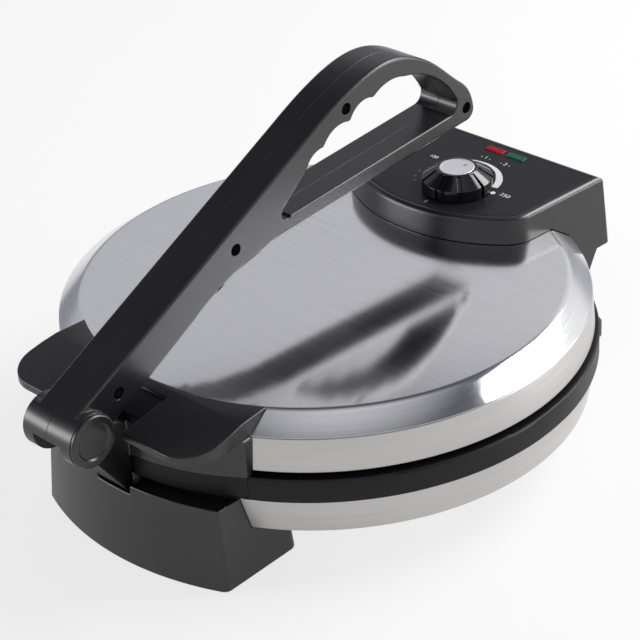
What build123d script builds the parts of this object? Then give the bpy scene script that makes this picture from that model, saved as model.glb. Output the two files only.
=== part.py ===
"""Electric roti maker: a round press with two heated plates and a lid hinged at the back.

A folding arm lies over the lid.  It turns on a pin in the lid's front bracket.
The thermostat, its knob and two lamps are in a D-shaped box on the lid's rear edge.

Heights are measured up from the table.  Positions in plan are measured from the axis of
the round body, with +Y towards the lid's hinge and +X to the user's right.  The frame's
origin is on the table, in the middle of the whole object's length.  All sizes are in mm.
"""
import os
from math import copysign, cos, radians, sin, sqrt, tan

from build123d import *

os.makedirs("parts", exist_ok=True)

# ---------------------------------------------------------------- driving dimensions
# Round body: the base ring is its widest part, and the rest steps in from it
RING_R = 154.0
BAND_SETBACK = 1.5        # top edge of the steel band
BAND_TAPER = 3.5          # by which the band draws in towards the table
LID_SETBACK = 2.6         # lower edge of the lid's steel side
LID_TAPER = 1.4           # from there to the seam
SHOULDER_RUN = 13.0       # from the seam to the edge of the flat top
LID_RIM_SETBACK = 6.5     # dark ring under the lid's steel side
PLATE_SETBACK = 27.0      # edge of the heated plates
RING_EDGE = 1.2           # chamfer round the ring's top
RING_OUTER_WALL = 5.0
RING_SHELF_T = 5.0        # the part of the ring around the plate

# Round body: heights of its layers, from the table up
FLOOR_Z = 29.0            # underside of the base band
BAND_H = 21.0
RING_H = 14.0
LID_GAP = 3.2             # from the base ring to the lid's steel side
LID_SIDE_H = 19.8
SHOULDER_H = 9.5          # from the seam to the flat top
SHEET = 1.0               # steel sheet of the band, the side and the top
SHEET_EDGE = 0.8          # rounding where the sheet turns
SHEET_GAP = 0.1           # between sheets that slip into one another
BAND_FLANGE = 12.0
LID_FLANGE = 5.0
COVER_SKIRT = 9.0

# Heated plates
PLATE_T = 7.0
PLATE_EDGE_R = 1.2
PLATE_GAP = 0.6           # left between the closed plates
PLATE_RIM_GAP = 1.5       # between a plate and the plastic ring around it
ELEMENT_SETBACK = 45.0    # centre line of a tubular element, inside the plate's edge
ELEMENT_TUBE_R = 3.4
ELEMENT_OPEN_DEG = 30.0   # left open for the two cold ends
ELEMENT_TAIL = 12.0       # length of a cold end
ELEMENT_TAIL_R = 3.3
TAIL_HOLE_GAP = 1.2       # round a cold end where it goes through the shield
SHIELD_T = 0.8
SHIELD_SETBACK = 9.0      # shield's edge inside the plate's
SHIELD_DROP = 5.0         # height of the shield's turned edge
SHIELD_GAP = 9.0          # from a plate's back to its shield
POST_R = 4.0
POST_SETBACK = 23.0       # circle of the posts inside the plate's edge
POST_COUNT = 3
POST_HOLE_GAP = 0.1
LID_RIM_GAP = 0.3         # lid rim above the base ring, lid closed
LID_RIM_H = 7.0

# Feet
PAD_R = 7.0
PAD_H = 2.6
PAD_SEAT = 1.4            # depth of a pad in its foot
PAD_EDGE = 0.5
PAD_SIDE_GAP = 4.0        # between a pad and the foot's side wall
FOOT_HALF_W = 70.5
FOOT_STEP = 17.5          # front face at the table, in front of the base ring
FOOT_DRAFT_DEG = 5.5
FOOT_REACH = 51.0         # how far the feet reach under the body
FOOT_RING_GAP = 0.4       # between the front foot and the base ring
FOOT_WALL = 3.0
FOOT_RIB_COUNT = 3
FOOT_CORNER_R = 5.0
RIB_T = 2.5
CROSS_RIB_SETBACK = 27.0  # the feet's cross ribs, pads and screws, inside the base ring
PAD_SETBACK = 8.0
FOOT_SCREW_SETBACK = 40.0
REAR_FOOT_CREST = 8.0     # in front of the hinge, where the rear foot starts to fall
FOOT_SCREW_X = 52.0
SCREW_BOSS_R = 4.0
FOOT_CLEAR = 0.3          # between a foot and the band beside it
NOTCH_HALF_W = 12.5
NOTCH_DEPTH = 5.5         # below the base ring
REAR_FOOT_HALF_W = 70.0
REAR_FOOT_TAIL = 9.0      # behind the hinge
REAR_FOOT_EDGE_Z = 10.0
GLAND_X = 28.0
GLAND_Z = 24.0
GLAND_R = 6.0
GLAND_BORE_R = 3.6
GLAND_REACH = 6.0         # how far the gland stands out of the tower
GLAND_FLANGE = 2.0
GLAND_SLEEVE = 9.0
GLAND_EDGE_R = 1.5
LEAD_HOLE_R = 6.0         # for the leads on their way into the base
LEAD_HOLE_SETBACK = 26.0  # inside the base ring
LEAD_SLOT_R = 4.0         # for the leads on their way out to the lid

# Hinge of the lid
HINGE_SETOFF = 7.0        # behind the base ring
HINGE_RISE = 8.0          # above the base ring's lower edge
KNUCKLE_R = 6.5
TOWER_HALF_W = 45.0
TOWER_SLOT_HALF_W = 18.0  # way through for the leads between base and lid
EAR_T = 7.0
EAR_GAP = 0.5             # between an ear and the tower
HINGE_PIN_R = 2.5
BUSH_R = 4.0
RUNNING_CLEAR = 0.05
CLIP_R = 4.2              # rings that keep the hinge pin in place
CLIP_T = 0.8
CLIP_GAP = 0.2
PIN_STUB = 2.0            # hinge pin beyond the clips' near faces

# Front bracket of the lid
BRACKET_HALF_W = 72.5
BRACKET_RING_GAP = 1.2    # between the bracket and the base ring
SKIRT_STEP = 7.5          # middle of the skirt, in front of the base ring
SKIRT_END_WALL = 5.1      # skirt in front of the lid, at the bracket's ends
WING_STEP = 21.0          # wings' lips, in front of the base ring
WING_SIDE_SETBACK = 7.0   # where the wings' sides start to draw in, behind the ring's front
WING_DRAW_IN = 3.5        # by which the wings are narrower at the lid's flat
WING_REAR_CUT = 10.0      # the outline runs on inside the flat's edge before it is cut there
WING_CORNER_R = 20.0
WING_INNER_X = 22.0
WING_INNER_CORNER_R = 5.0
WING_RISE = 0.9           # at the edge of the lid's flat, above it
WING_LIP_DROP = 5.0       # at the front of the lip, below the lid's flat
WING_LIP_T = 4.5
SADDLE_DROP = 1.5         # rear of the saddle under the arm, below the lid's flat
SADDLE_FRONT_DROP = 6.5
SADDLE_REAR_GAP = 6.0     # from the lid's flat to the saddle
SKIRT_FRONT_GAP = 1.5     # between the skirt's face and the floor of the bay between the wings
BOSS_SETBACK = 1.8        # the base ring's thickening, behind the skirt above it
BOSS_FOOT = 2.0           # boss above the base ring's lower edge
BOSS_RISE = 0.6           # boss above the base ring's top
BOSS_SIDE_GAP = 1.0       # boss inside the bracket's ends
BRACKET_SCREW_DEG = 18.0  # either side of the middle
BRACKET_SCREW_RISE = 7.3  # above the lid's lower edge
BRACKET_SCREW_L = 8.0
SEAT_GAP = 0.2            # between mouldings and the sheet that they sit on

# Folding arm and its pin
PIVOT_DROP = 3.0          # pin below the lid's flat
BARREL_R = 15.0
BARREL_GAP = 1.0          # between the barrel and the wings' lips
BARREL_HALF_L = 18.0
EYE_R = 9.0
WEB_HALF_T = 9.5
WEB_SIDE_GAP = 0.8        # between the web and the walls of the barrel's slot
ARM_PIN_R = 3.0
ARM_PIN_END_GAP = 0.3
ARM_PIN_EDGE = 0.4
EYE_GAP = 0.6             # round the eye in the barrel
ARM_HALF_T = 14.0
ARM_EDGE_R = 1.6
GRIP_EDGE_R = 0.9         # round the finger opening
WEB_TOP_DEG = -13.0       # top edge of the web, seen from the pin
WEB_FRONT_DEG = 256.0     # where the web's front edge leaves the eye
SLOT_FRONT_DEG = 178.0    # ends of the slot in the barrel, arm folded
SLOT_REAR_DEG = 350.0
TIP_LIFT = 1.5            # web's tip above the floor of the foot's notch
TIP_STEP = 12.3           # front of the web's tip, in front of the base ring
TIP_GAP = 0.8             # between the web's tip and the boss behind it
WEB_ROOT_DEPTH = 4.0      # how far the web runs into the skirt
CAP_T = 2.2
CAP_DISH = 1.2
CAP_SEAT_WALL = 2.5       # barrel's wall round the seat of a cap
CAP_SEAT_GAP = 0.1
CAP_RIM_SETBACK = 0.4     # cap's rim inside the barrel's outside
CAP_EDGE_R = 1.2
CAP_RIM_W = 4.1           # flat round the dish
CAP_DISH_TAPER_DEG = 30.0
SCREW_HEAD_R = 2.7
SCREW_SHANK_R = 1.5
SCREW_HEAD_H = 1.8
SCREW_THREAD_GAP = 0.05
RECESS_R = 3.4
RECESS_DEPTH = 7.0
SCREW_END_WALL = 3.0      # left in the far half under a screw's tip

# Control box
BOX_RISE = 16.0           # above the lid's flat
BOX_SKIRT_DROP = 1.0      # lower edge of the side walls, below the hinge
BOX_REAR_RISE = 11.5      # lower edge above the hinge
BOX_REAR_HALF_W = 75.3    # the following five are sizes at the rear lower edge
BOX_FRONT_HALF_W = 68.8
BOX_REAR_SETOFF = 6.8     # behind the hinge
BOX_L = 102.7
BOX_ARC_R = 100.0
BOX_CORNER_R = 22.0
BOX_TOP_CORNER_R = 0.3    # rear corners of the box's walls, at its top
BOX_DRAFT_DEG = 5.0
BOX_WALL = 2.5
BOX_EDGE_R = 3.0
BOX_NOTCH_Y = 12.0        # in front of the hinge, where the side walls' lower edge starts to rise
BOX_NOTCH_TOP_Y = 5.5
BOX_RING_GAP = 1.5        # between the side walls and the base ring
BOX_SCREW_X = 42.0
BOX_SCREW_SETBACK = 45.8  # in front of the box's rear
BOX_SCREW_L = 9.0
PANEL_T = 0.8
PANEL_INSET = 8.0         # panel edge inside the box's lower outline
PANEL_GAP = 0.15

# Thermostat, knob and lamps
KNOB_X = 11.5
KNOB_SETBACK = 38.1       # behind the box's apex
KNOB_R = 20.8
KNOB_TOP_R = 12.5
KNOB_SKIRT_H = 6.5
KNOB_H = 12.6
KNOB_LIFT = 0.6           # above the panel
KNOB_WALL = 1.4
HUB_RECESS = 2.6          # under the knob's hub, round the nut
KNOB_GROOVE_COUNT = 9
KNOB_GROOVE_W = 2.4
KNOB_GROOVE_DEPTH = 1.4
KNOB_GROOVE_TURN_DEG = 35.0 # first groove, from the X axis
KNOB_EDGE = 0.5
HUB_WALL = 3.0
SHAFT_END_GAP = 1.6       # between the shaft's end and the disc's seat
SHAFT_FOOT_GAP = 0.2
NUT_R = 7.5
NUT_H = 2.2
NUT_GAP = 1.0             # between the nut's corners and the knob
DISC_GAP = 0.1
DISC_R = 10.3
DISC_T = 0.8
SHAFT_R = 3.0
SHAFT_FLAT = 1.0          # depth of the flat on the shaft
BUSHING_R = 5.0
BUSHING_GAP = 0.1
THERMOSTAT_SIZE = (34.0, 26.0, 13.0)
THERMOSTAT_CORNER_R = 3.0
LENS_SIZE = (13.5, 5.6)
LENS_SETBACK = 14.6       # in front of the box's rear
POWER_LENS_X = -0.4
READY_LENS_X = 15.3
LENS_PROUD = 0.7
LENS_GAP = 0.1
LENS_EDGE = 0.4
LENS_STEM = (11.5, 4.2)
LENS_STEM_GAP = 0.05
LAMP_R = 2.2
LAMP_L = 9.0

# ---------------------------------------------------------------- values that follow
BAND_TOP_R = RING_R - BAND_SETBACK
BAND_BOTTOM_R = BAND_TOP_R - BAND_TAPER
LID_BOTTOM_R = RING_R - LID_SETBACK
SEAM_R = LID_BOTTOM_R - LID_TAPER
FLAT_R = SEAM_R - SHOULDER_RUN
LID_RIM_OUTER_R = RING_R - LID_RIM_SETBACK
PLATE_R = RING_R - PLATE_SETBACK
ELEMENT_R = PLATE_R - ELEMENT_SETBACK
SHIELD_R = PLATE_R - SHIELD_SETBACK
POST_CIRCLE_R = PLATE_R - POST_SETBACK

RING_BOTTOM_Z = FLOOR_Z + BAND_H
RING_TOP_Z = RING_BOTTOM_Z + RING_H
PLATE_SPLIT_Z = RING_TOP_Z + LID_GAP / 2
LID_BOTTOM_Z = RING_TOP_Z + LID_GAP
SEAM_Z = LID_BOTTOM_Z + LID_SIDE_H
LID_TOP_Z = SEAM_Z + SHOULDER_H

FOOT_FRONT_R = RING_R + FOOT_STEP
FOOT_INNER_Y = RING_R - FOOT_REACH
FOOT_TOP_Z = RING_BOTTOM_Z - FOOT_RING_GAP
FOOT_SCREW_Y = RING_R - FOOT_SCREW_SETBACK
CROSS_RIB_Y = RING_R - CROSS_RIB_SETBACK
PAD_REAR_Y = RING_R - PAD_SETBACK
PAD_FRONT_Y = -PAD_REAR_Y
LEAD_HOLE_Y = RING_R - LEAD_HOLE_SETBACK
NOTCH_FLOOR_Z = RING_BOTTOM_Z - NOTCH_DEPTH

HINGE_Y = RING_R + HINGE_SETOFF
HINGE_Z = RING_BOTTOM_Z + HINGE_RISE
REAR_FOOT_CREST_Y = HINGE_Y - REAR_FOOT_CREST
REAR_FOOT_Y = HINGE_Y + REAR_FOOT_TAIL

BRACKET_BOTTOM_Z = RING_TOP_Z + BRACKET_RING_GAP
SKIRT_FRONT_Y = RING_R + SKIRT_STEP
SKIRT_SAGITTA = SKIRT_FRONT_Y - SKIRT_END_WALL - sqrt(LID_BOTTOM_R**2 - BRACKET_HALF_W**2)
SKIRT_ARC_R = (BRACKET_HALF_W**2 + SKIRT_SAGITTA**2) / (2 * SKIRT_SAGITTA)
WING_FRONT_Y = RING_R + WING_STEP
WING_SIDE_Y = RING_R - WING_SIDE_SETBACK
WING_REAR_HALF_W = BRACKET_HALF_W - WING_DRAW_IN
WING_TOP_Z = LID_TOP_Z + WING_RISE
WING_LIP_Z = LID_TOP_Z - WING_LIP_DROP
SADDLE_Z = LID_TOP_Z - SADDLE_DROP
SADDLE_FRONT_Z = LID_TOP_Z - SADDLE_FRONT_DROP
BOSS_BOTTOM_Z = RING_BOTTOM_Z + BOSS_FOOT
BOSS_TOP_Z = RING_TOP_Z + BOSS_RISE
BRACKET_SCREW_Z = LID_BOTTOM_Z + BRACKET_SCREW_RISE
TIP_Z = NOTCH_FLOOR_Z + TIP_LIFT
TIP_FRONT_Y = -(RING_R + TIP_STEP)

PIVOT_Y = -(WING_FRONT_Y + BARREL_GAP + BARREL_R)
PIVOT_Z = LID_TOP_Z - PIVOT_DROP
CAP_SEAT_R = BARREL_R - CAP_SEAT_WALL
CAP_RIM_R = BARREL_R - CAP_RIM_SETBACK
CAP_DISH_R = CAP_RIM_R - CAP_RIM_W

BOX_TOP_Z = LID_TOP_Z + BOX_RISE
BOX_SKIRT_Z = HINGE_Z - BOX_SKIRT_DROP
BOX_REAR_Z = HINGE_Z + BOX_REAR_RISE
BOX_REAR_CORNER_R = BOX_TOP_CORNER_R + (BOX_TOP_Z - BOX_REAR_Z) * tan(radians(BOX_DRAFT_DEG))
BOX_REAR_Y = HINGE_Y + BOX_REAR_SETOFF
BOX_APEX_Y = BOX_REAR_Y - BOX_L
BOX_SCREW_Y = BOX_REAR_Y - BOX_SCREW_SETBACK
KNOB_Y = BOX_APEX_Y + KNOB_SETBACK
LENS_Y = BOX_REAR_Y - LENS_SETBACK

FRONT_REACH = BARREL_R - PIVOT_Y
TOWER_REAR_Y = HINGE_Y + KNUCKLE_R
REAR_REACH = TOWER_REAR_Y + GLAND_REACH
BODY_Y = (FRONT_REACH - REAR_REACH) / 2

GROUND = Plane((0, BODY_Y, 0))
FRONT = Plane(origin=(0, BODY_Y, 0), x_dir=(1, 0, 0), z_dir=(0, -1, 0))
SIDE = Plane(origin=(0, BODY_Y, 0), x_dir=(0, 1, 0), z_dir=(1, 0, 0))
PIN_SIDE = Plane(origin=(0, BODY_Y + PIVOT_Y, PIVOT_Z), x_dir=(0, 1, 0), z_dir=(1, 0, 0))
BODY_AXIS = Axis((0, BODY_Y, 0), (0, 0, 1))
GLAND_PLANE = Plane(origin=(GLAND_X, BODY_Y + TOWER_REAR_Y, GLAND_Z), x_dir=(1, 0, 0), z_dir=(0, 1, 0))

PAD_LIFT = PAD_H - PAD_SEAT
LOWER_PLATE_TOP_Z = PLATE_SPLIT_Z - PLATE_GAP / 2
LOWER_PLATE_BOTTOM_Z = LOWER_PLATE_TOP_Z - PLATE_T
UPPER_PLATE_BOTTOM_Z = PLATE_SPLIT_Z + PLATE_GAP / 2
UPPER_PLATE_TOP_Z = UPPER_PLATE_BOTTOM_Z + PLATE_T
RING_INNER_R = PLATE_R + PLATE_RIM_GAP
COVER_Z = FLOOR_Z + SHEET
COVER_SKIRT_R = SEAM_R - SHEET - SHEET_GAP
LID_INSIDE_Z = LID_TOP_Z - SHEET
LOWER_SHIELD_Z = LOWER_PLATE_BOTTOM_Z - SHIELD_GAP
UPPER_SHIELD_Z = UPPER_PLATE_TOP_Z + SHIELD_GAP
ELEMENT_ENDS = [
    (ELEMENT_R * cos(radians(angle_deg)), ELEMENT_R * sin(radians(angle_deg)))
    for angle_deg in (0, 360 - ELEMENT_OPEN_DEG)
]
PAD_X = FOOT_HALF_W - FOOT_WALL - PAD_SIDE_GAP - PAD_R
PANEL_Z = BOX_TOP_Z - PANEL_T
BOX_INSIDE_Z = BOX_TOP_Z - PANEL_T - BOX_WALL
EAR_INNER_X = TOWER_HALF_W + EAR_GAP
EAR_OUTER_X = EAR_INNER_X + EAR_T
EAR_TOP_Y = BOX_REAR_Y - BOX_WALL - (BOX_INSIDE_Z - BOX_REAR_Z) * tan(radians(BOX_DRAFT_DEG))
LEAD_SLOT_Z = (RING_BOTTOM_Z + RING_TOP_Z - RING_SHELF_T) / 2
FOOT_SCREW_DEPTH = FLOOR_Z - PAD_LIFT - FOOT_WALL
FOOT_SCREW_PLACES = [(x, y) for x in (-FOOT_SCREW_X, FOOT_SCREW_X) for y in (-FOOT_SCREW_Y, FOOT_SCREW_Y)]
BOX_SCREW_PLACES = [(-BOX_SCREW_X, BOX_SCREW_Y), (BOX_SCREW_X, BOX_SCREW_Y)]
KNOB_BOTTOM_Z = BOX_TOP_Z + KNOB_LIFT
SHAFT_TOP_Z = KNOB_BOTTOM_Z + KNOB_H - DISC_T - SHAFT_END_GAP


def radial_plane(angle_deg, radius, z):
    """Plane across a spoke of the round body, facing outwards."""
    spoke = Vector(cos(radians(angle_deg)), sin(radians(angle_deg)), 0)
    return Plane(origin=GROUND.origin + spoke * radius + Vector(0, 0, z), z_dir=spoke)


# seats of the bracket's screws, on the inner face of the lid's side band
BRACKET_SCREW_PLANES = [
    radial_plane(angle_deg, COVER_SKIRT_R - SHEET, BRACKET_SCREW_Z)
    for angle_deg in (-90 - BRACKET_SCREW_DEG, -90 + BRACKET_SCREW_DEG)
]


def save(part, name):
    """Label a finished piece and write it to its own STEP file."""
    part.label = name
    export_step(part, f"parts/{name}.step")


def at(radius, angle_deg, centre=(0, 0)):
    """Point at a radius and angle about a centre in the side view, which is the arm's pin there."""
    return (centre[0] + radius * cos(radians(angle_deg)), centre[1] + radius * sin(radians(angle_deg)))


# ---------------------------------------------------------------- base
# Steel band of the base: tapers in towards the table, with a flange turned in at each edge.
with BuildPart() as base_band:
    with BuildSketch(FRONT):
        with BuildLine():
            Polyline(
                (BAND_BOTTOM_R - BAND_FLANGE, FLOOR_Z),
                (BAND_BOTTOM_R, FLOOR_Z),
                (BAND_TOP_R, RING_BOTTOM_Z),
                (BAND_TOP_R - BAND_FLANGE, RING_BOTTOM_Z),
                (BAND_TOP_R - BAND_FLANGE, RING_BOTTOM_Z - SHEET),
                (BAND_TOP_R - SHEET, RING_BOTTOM_Z - SHEET),
                (BAND_BOTTOM_R - SHEET, COVER_Z),
                (BAND_BOTTOM_R - BAND_FLANGE, COVER_Z),
                close=True,
            )
        make_face()
    revolve(axis=BODY_AXIS)
save(base_band.part, "base_band")

# Round plate that closes the base from below, with rows of vents.
BOTTOM_COVER_R = BAND_BOTTOM_R - 2 * SHEET
VENT_R = 2.0
VENT_CIRCLES = (38.0, 50.0, 62.0)
VENT_COUNT = 18
with BuildPart() as bottom_cover:
    with BuildSketch(GROUND.offset(COVER_Z)):
        Circle(BOTTOM_COVER_R)
        for circle_r in VENT_CIRCLES:
            with PolarLocations(circle_r, VENT_COUNT):
                Circle(VENT_R, mode=Mode.SUBTRACT)
        with Locations(*FOOT_SCREW_PLACES):
            Circle(SCREW_SHANK_R + SHEET_GAP, mode=Mode.SUBTRACT)
        with Locations((0, LEAD_HOLE_Y)):
            Circle(LEAD_HOLE_R, mode=Mode.SUBTRACT)
    extrude(amount=SHEET)
save(bottom_cover.part, "bottom_cover")

# Black ring around the lower plate, with a thicker stretch under the lid's bracket.
RING_SHELF_Z = RING_TOP_Z - RING_SHELF_T
with BuildPart() as base_ring:
    with BuildSketch(FRONT):
        with BuildLine():
            Polyline(
                (RING_INNER_R, RING_SHELF_Z),
                (RING_R - RING_OUTER_WALL, RING_SHELF_Z),
                (RING_R - RING_OUTER_WALL, RING_BOTTOM_Z),
                (RING_R - RING_EDGE / 2, RING_BOTTOM_Z),
                (RING_R, RING_BOTTOM_Z + RING_EDGE / 2),
                (RING_R, RING_TOP_Z - RING_EDGE),
                (RING_R - RING_EDGE, RING_TOP_Z),
                (RING_INNER_R, RING_TOP_Z),
                close=True,
            )
        make_face()
    revolve(axis=BODY_AXIS)
    with BuildSketch(GROUND.offset(BOSS_BOTTOM_Z)):
        with Locations((0, SKIRT_ARC_R - SKIRT_FRONT_Y)):
            Circle(SKIRT_ARC_R - BOSS_SETBACK)
        with Locations((0, -SKIRT_FRONT_Y)):
            Rectangle(2 * (BRACKET_HALF_W - BOSS_SIDE_GAP), SKIRT_FRONT_Y, mode=Mode.INTERSECT)
        Circle(RING_R - RING_OUTER_WALL, mode=Mode.SUBTRACT)
    extrude(amount=BOSS_TOP_Z - BOSS_BOTTOM_Z)
    # the lid's dark rim turns over the boss, so the boss stops short of it
    with BuildSketch(GROUND.offset(RING_TOP_Z)):
        Circle(LID_BOTTOM_R + SEAT_GAP)
    extrude(amount=RING_SHELF_T, mode=Mode.SUBTRACT)
    # the leads to the lid leave through the ring's wall, behind
    with BuildSketch(FRONT.offset(-RING_R - RING_OUTER_WALL)):
        with Locations((0, LEAD_SLOT_Z)):
            Circle(LEAD_SLOT_R)
    extrude(amount=3 * RING_OUTER_WALL, mode=Mode.SUBTRACT)
save(base_ring.part, "base_ring")


def heated_plate(bottom_z):
    """Cast plate: a flat disc with a small radius on its edges."""
    with BuildPart() as plate:
        with BuildSketch(GROUND.offset(bottom_z)):
            Circle(PLATE_R)
        extrude(amount=PLATE_T)
        fillet(plate.edges().filter_by(GeomType.CIRCLE), PLATE_EDGE_R)
    return plate.part


def element(z, tail_up):
    """Open ring of tube with two cold ends turned away from the plate."""
    with BuildPart() as tube:
        with BuildSketch(Plane(FRONT.origin + Vector(0, 0, z), x_dir=(1, 0, 0), z_dir=(0, -1, 0))):
            with Locations((ELEMENT_R, 0)):
                Circle(ELEMENT_TUBE_R)
        revolve(axis=BODY_AXIS, revolution_arc=360 - ELEMENT_OPEN_DEG)
        with BuildSketch(GROUND.offset(z)):
            with Locations(*ELEMENT_ENDS):
                Circle(ELEMENT_TAIL_R)
        extrude(amount=ELEMENT_TAIL if tail_up else -ELEMENT_TAIL)
    return tube.part


def shield(z, edge_up):
    """Thin pressed dish that keeps the heat at the plate, with holes for posts and cold ends."""
    edge = SHIELD_DROP if edge_up else -SHIELD_DROP
    inner = SHIELD_T if edge_up else -SHIELD_T
    with BuildPart() as dish:
        with BuildSketch(FRONT):
            with BuildLine():
                Polyline(
                    (0, z),
                    (SHIELD_R, z),
                    (SHIELD_R, z + edge),
                    (SHIELD_R - SHIELD_T, z + edge),
                    (SHIELD_R - SHIELD_T, z + inner),
                    (0, z + inner),
                    close=True,
                )
            make_face()
        revolve(axis=BODY_AXIS)
        with BuildSketch(GROUND.offset(z - SHIELD_DROP)):
            with PolarLocations(POST_CIRCLE_R, POST_COUNT, start_angle=90):
                Circle(POST_R + POST_HOLE_GAP)
            with Locations(*ELEMENT_ENDS):
                Circle(ELEMENT_TUBE_R + TAIL_HOLE_GAP)
        extrude(amount=2 * SHIELD_DROP, mode=Mode.SUBTRACT)
    return dish.part


def posts(bottom_z, top_z):
    """Turned posts that hold a plate away from its housing."""
    with BuildPart() as group:
        with BuildSketch(GROUND.offset(bottom_z)):
            with PolarLocations(POST_CIRCLE_R, POST_COUNT, start_angle=90):
                Circle(POST_R)
        extrude(amount=top_z - bottom_z)
    return group.part


save(heated_plate(LOWER_PLATE_BOTTOM_Z), "lower_plate")
save(element(LOWER_PLATE_BOTTOM_Z - ELEMENT_TUBE_R, tail_up=False), "lower_element")
save(shield(LOWER_SHIELD_Z, edge_up=True), "lower_heat_shield")
save(posts(COVER_Z + SHEET, LOWER_PLATE_BOTTOM_Z), "lower_plate_posts")

# Ceramic terminal block on the bottom cover, where the supply lead ends.
BLOCK_SIZE = (30.0, 16.0, 11.0)
BLOCK_SETBACK = 36.0      # inside the base ring
BLOCK_PITCH = 10.0
BLOCK_HOLE_R = 1.8
with BuildPart() as terminal_block:
    with BuildSketch(GROUND.offset(COVER_Z + SHEET)):
        with Locations((0, RING_R - BLOCK_SETBACK)):
            Rectangle(BLOCK_SIZE[0], BLOCK_SIZE[1])
    extrude(amount=BLOCK_SIZE[2])
    with BuildSketch(GROUND.offset(COVER_Z + SHEET + BLOCK_SIZE[2])):
        with Locations((0, RING_R - BLOCK_SETBACK)):
            with GridLocations(BLOCK_PITCH, 1, 3, 1):
                Circle(BLOCK_HOLE_R)
    extrude(amount=-BLOCK_SIZE[2] / 2, mode=Mode.SUBTRACT)
save(terminal_block.part, "terminal_block")

# Thermal fuse, clipped under the lower shield.
FUSE_R = 2.5
FUSE_L = 14.0
FUSE_Y = 40.0
with BuildPart() as thermal_fuse:
    with BuildSketch(SIDE.offset(-FUSE_L / 2)):
        with Locations((FUSE_Y, LOWER_SHIELD_Z - FUSE_R)):
            Circle(FUSE_R)
    extrude(amount=FUSE_L)
save(thermal_fuse.part, "thermal_fuse")


# ---------------------------------------------------------------- feet
def band_envelope(clear, drop=0.0):
    """Solid of the round base from its floor up, grown outwards and downwards."""
    with BuildPart() as envelope:
        with BuildSketch(FRONT):
            with BuildLine():
                Polyline(
                    (0, FLOOR_Z - drop),
                    (BAND_BOTTOM_R + clear, FLOOR_Z - drop),
                    (BAND_TOP_R + clear, RING_BOTTOM_Z),
                    (BAND_TOP_R + clear, LID_TOP_Z),
                    (0, LID_TOP_Z),
                    close=True,
                )
            make_face()
        revolve(axis=BODY_AXIS)
    return envelope.part


def foot_plan(inset):
    """Plan of the front foot: straight sides and a front face round the body axis."""
    with BuildSketch() as plan:
        Circle(FOOT_FRONT_R - inset)
        with Locations((0, -(FOOT_INNER_Y + inset) - FOOT_FRONT_R / 2)):
            Rectangle(2 * (FOOT_HALF_W - inset), FOOT_FRONT_R, mode=Mode.INTERSECT)
    return plan.sketch


def hollow_core(pad_y):
    """What stays standing in a foot's hollow: ribs both ways, and bosses for pads and screws."""
    with BuildPart() as core:
        for rib in range(FOOT_RIB_COUNT):
            rib_x = FOOT_HALF_W * (2 * (rib + 1) / (FOOT_RIB_COUNT + 1) - 1)
            with BuildSketch(SIDE.offset(rib_x - RIB_T / 2)):
                with Locations((pad_y, 0)):
                    Rectangle(FOOT_FRONT_R, 2 * RING_TOP_Z)
            extrude(amount=RIB_T)
        with BuildSketch(GROUND):
            with Locations((0, copysign(CROSS_RIB_Y, pad_y))):
                Rectangle(2 * FOOT_HALF_W, RIB_T)
            with Locations((-PAD_X, pad_y), (PAD_X, pad_y)):
                Circle(PAD_R + RIB_T)
            with Locations(*FOOT_SCREW_PLACES):
                Circle(SCREW_BOSS_R)
        extrude(amount=FLOOR_Z)
    return core.part


# Front foot: a hollow moulding under and in front of the body, ribbed inside.
# The notch in its top edge takes the tip of the lid bracket's web.
with BuildPart() as front_hollow:
    with BuildSketch(GROUND.offset(PAD_LIFT)):
        add(foot_plan(FOOT_WALL))
    extrude(amount=NOTCH_FLOOR_Z - FOOT_WALL - PAD_LIFT, taper=FOOT_DRAFT_DEG)
    add(band_envelope(FOOT_CLEAR + FOOT_WALL, drop=FOOT_WALL), mode=Mode.SUBTRACT)
    add(hollow_core(PAD_FRONT_Y), mode=Mode.SUBTRACT)

with BuildPart() as front_foot:
    with BuildSketch(GROUND.offset(PAD_LIFT)):
        add(foot_plan(0))
        fillet(vertices(), FOOT_CORNER_R)
    extrude(amount=FOOT_TOP_Z - PAD_LIFT, taper=FOOT_DRAFT_DEG)
    add(band_envelope(FOOT_CLEAR), mode=Mode.SUBTRACT)
    add(front_hollow.part, mode=Mode.SUBTRACT)
    with BuildSketch(SIDE.offset(-NOTCH_HALF_W)):
        with Locations((-FOOT_FRONT_R, NOTCH_FLOOR_Z + FOOT_TOP_Z / 2)):
            Rectangle(FOOT_FRONT_R / 2, FOOT_TOP_Z)
    extrude(amount=2 * NOTCH_HALF_W, mode=Mode.SUBTRACT)
    with BuildSketch(GROUND.offset(PAD_LIFT)):
        with Locations((-PAD_X, PAD_FRONT_Y), (PAD_X, PAD_FRONT_Y)):
            Circle(PAD_R)
    extrude(amount=PAD_SEAT, mode=Mode.SUBTRACT)
    with BuildSketch(GROUND.offset(FLOOR_Z)):
        with Locations(*FOOT_SCREW_PLACES):
            Circle(SCREW_SHANK_R)
    extrude(amount=-FOOT_SCREW_DEPTH, mode=Mode.SUBTRACT)
save(front_foot.part, "front_foot")


def rear_foot_side(inset):
    """Side view of the rear foot, moved in by an inset, open towards the table."""
    with BuildSketch() as view:
        with BuildLine():
            Polyline(
                (FOOT_INNER_Y + inset, PAD_LIFT),
                (REAR_FOOT_Y - inset, PAD_LIFT),
                (REAR_FOOT_Y - inset, REAR_FOOT_EDGE_Z - inset / 2),
                (REAR_FOOT_CREST_Y - inset, FLOOR_Z - inset),
                (FOOT_INNER_Y + inset, FLOOR_Z - inset),
                close=True,
            )
        make_face()
    return view.sketch


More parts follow.
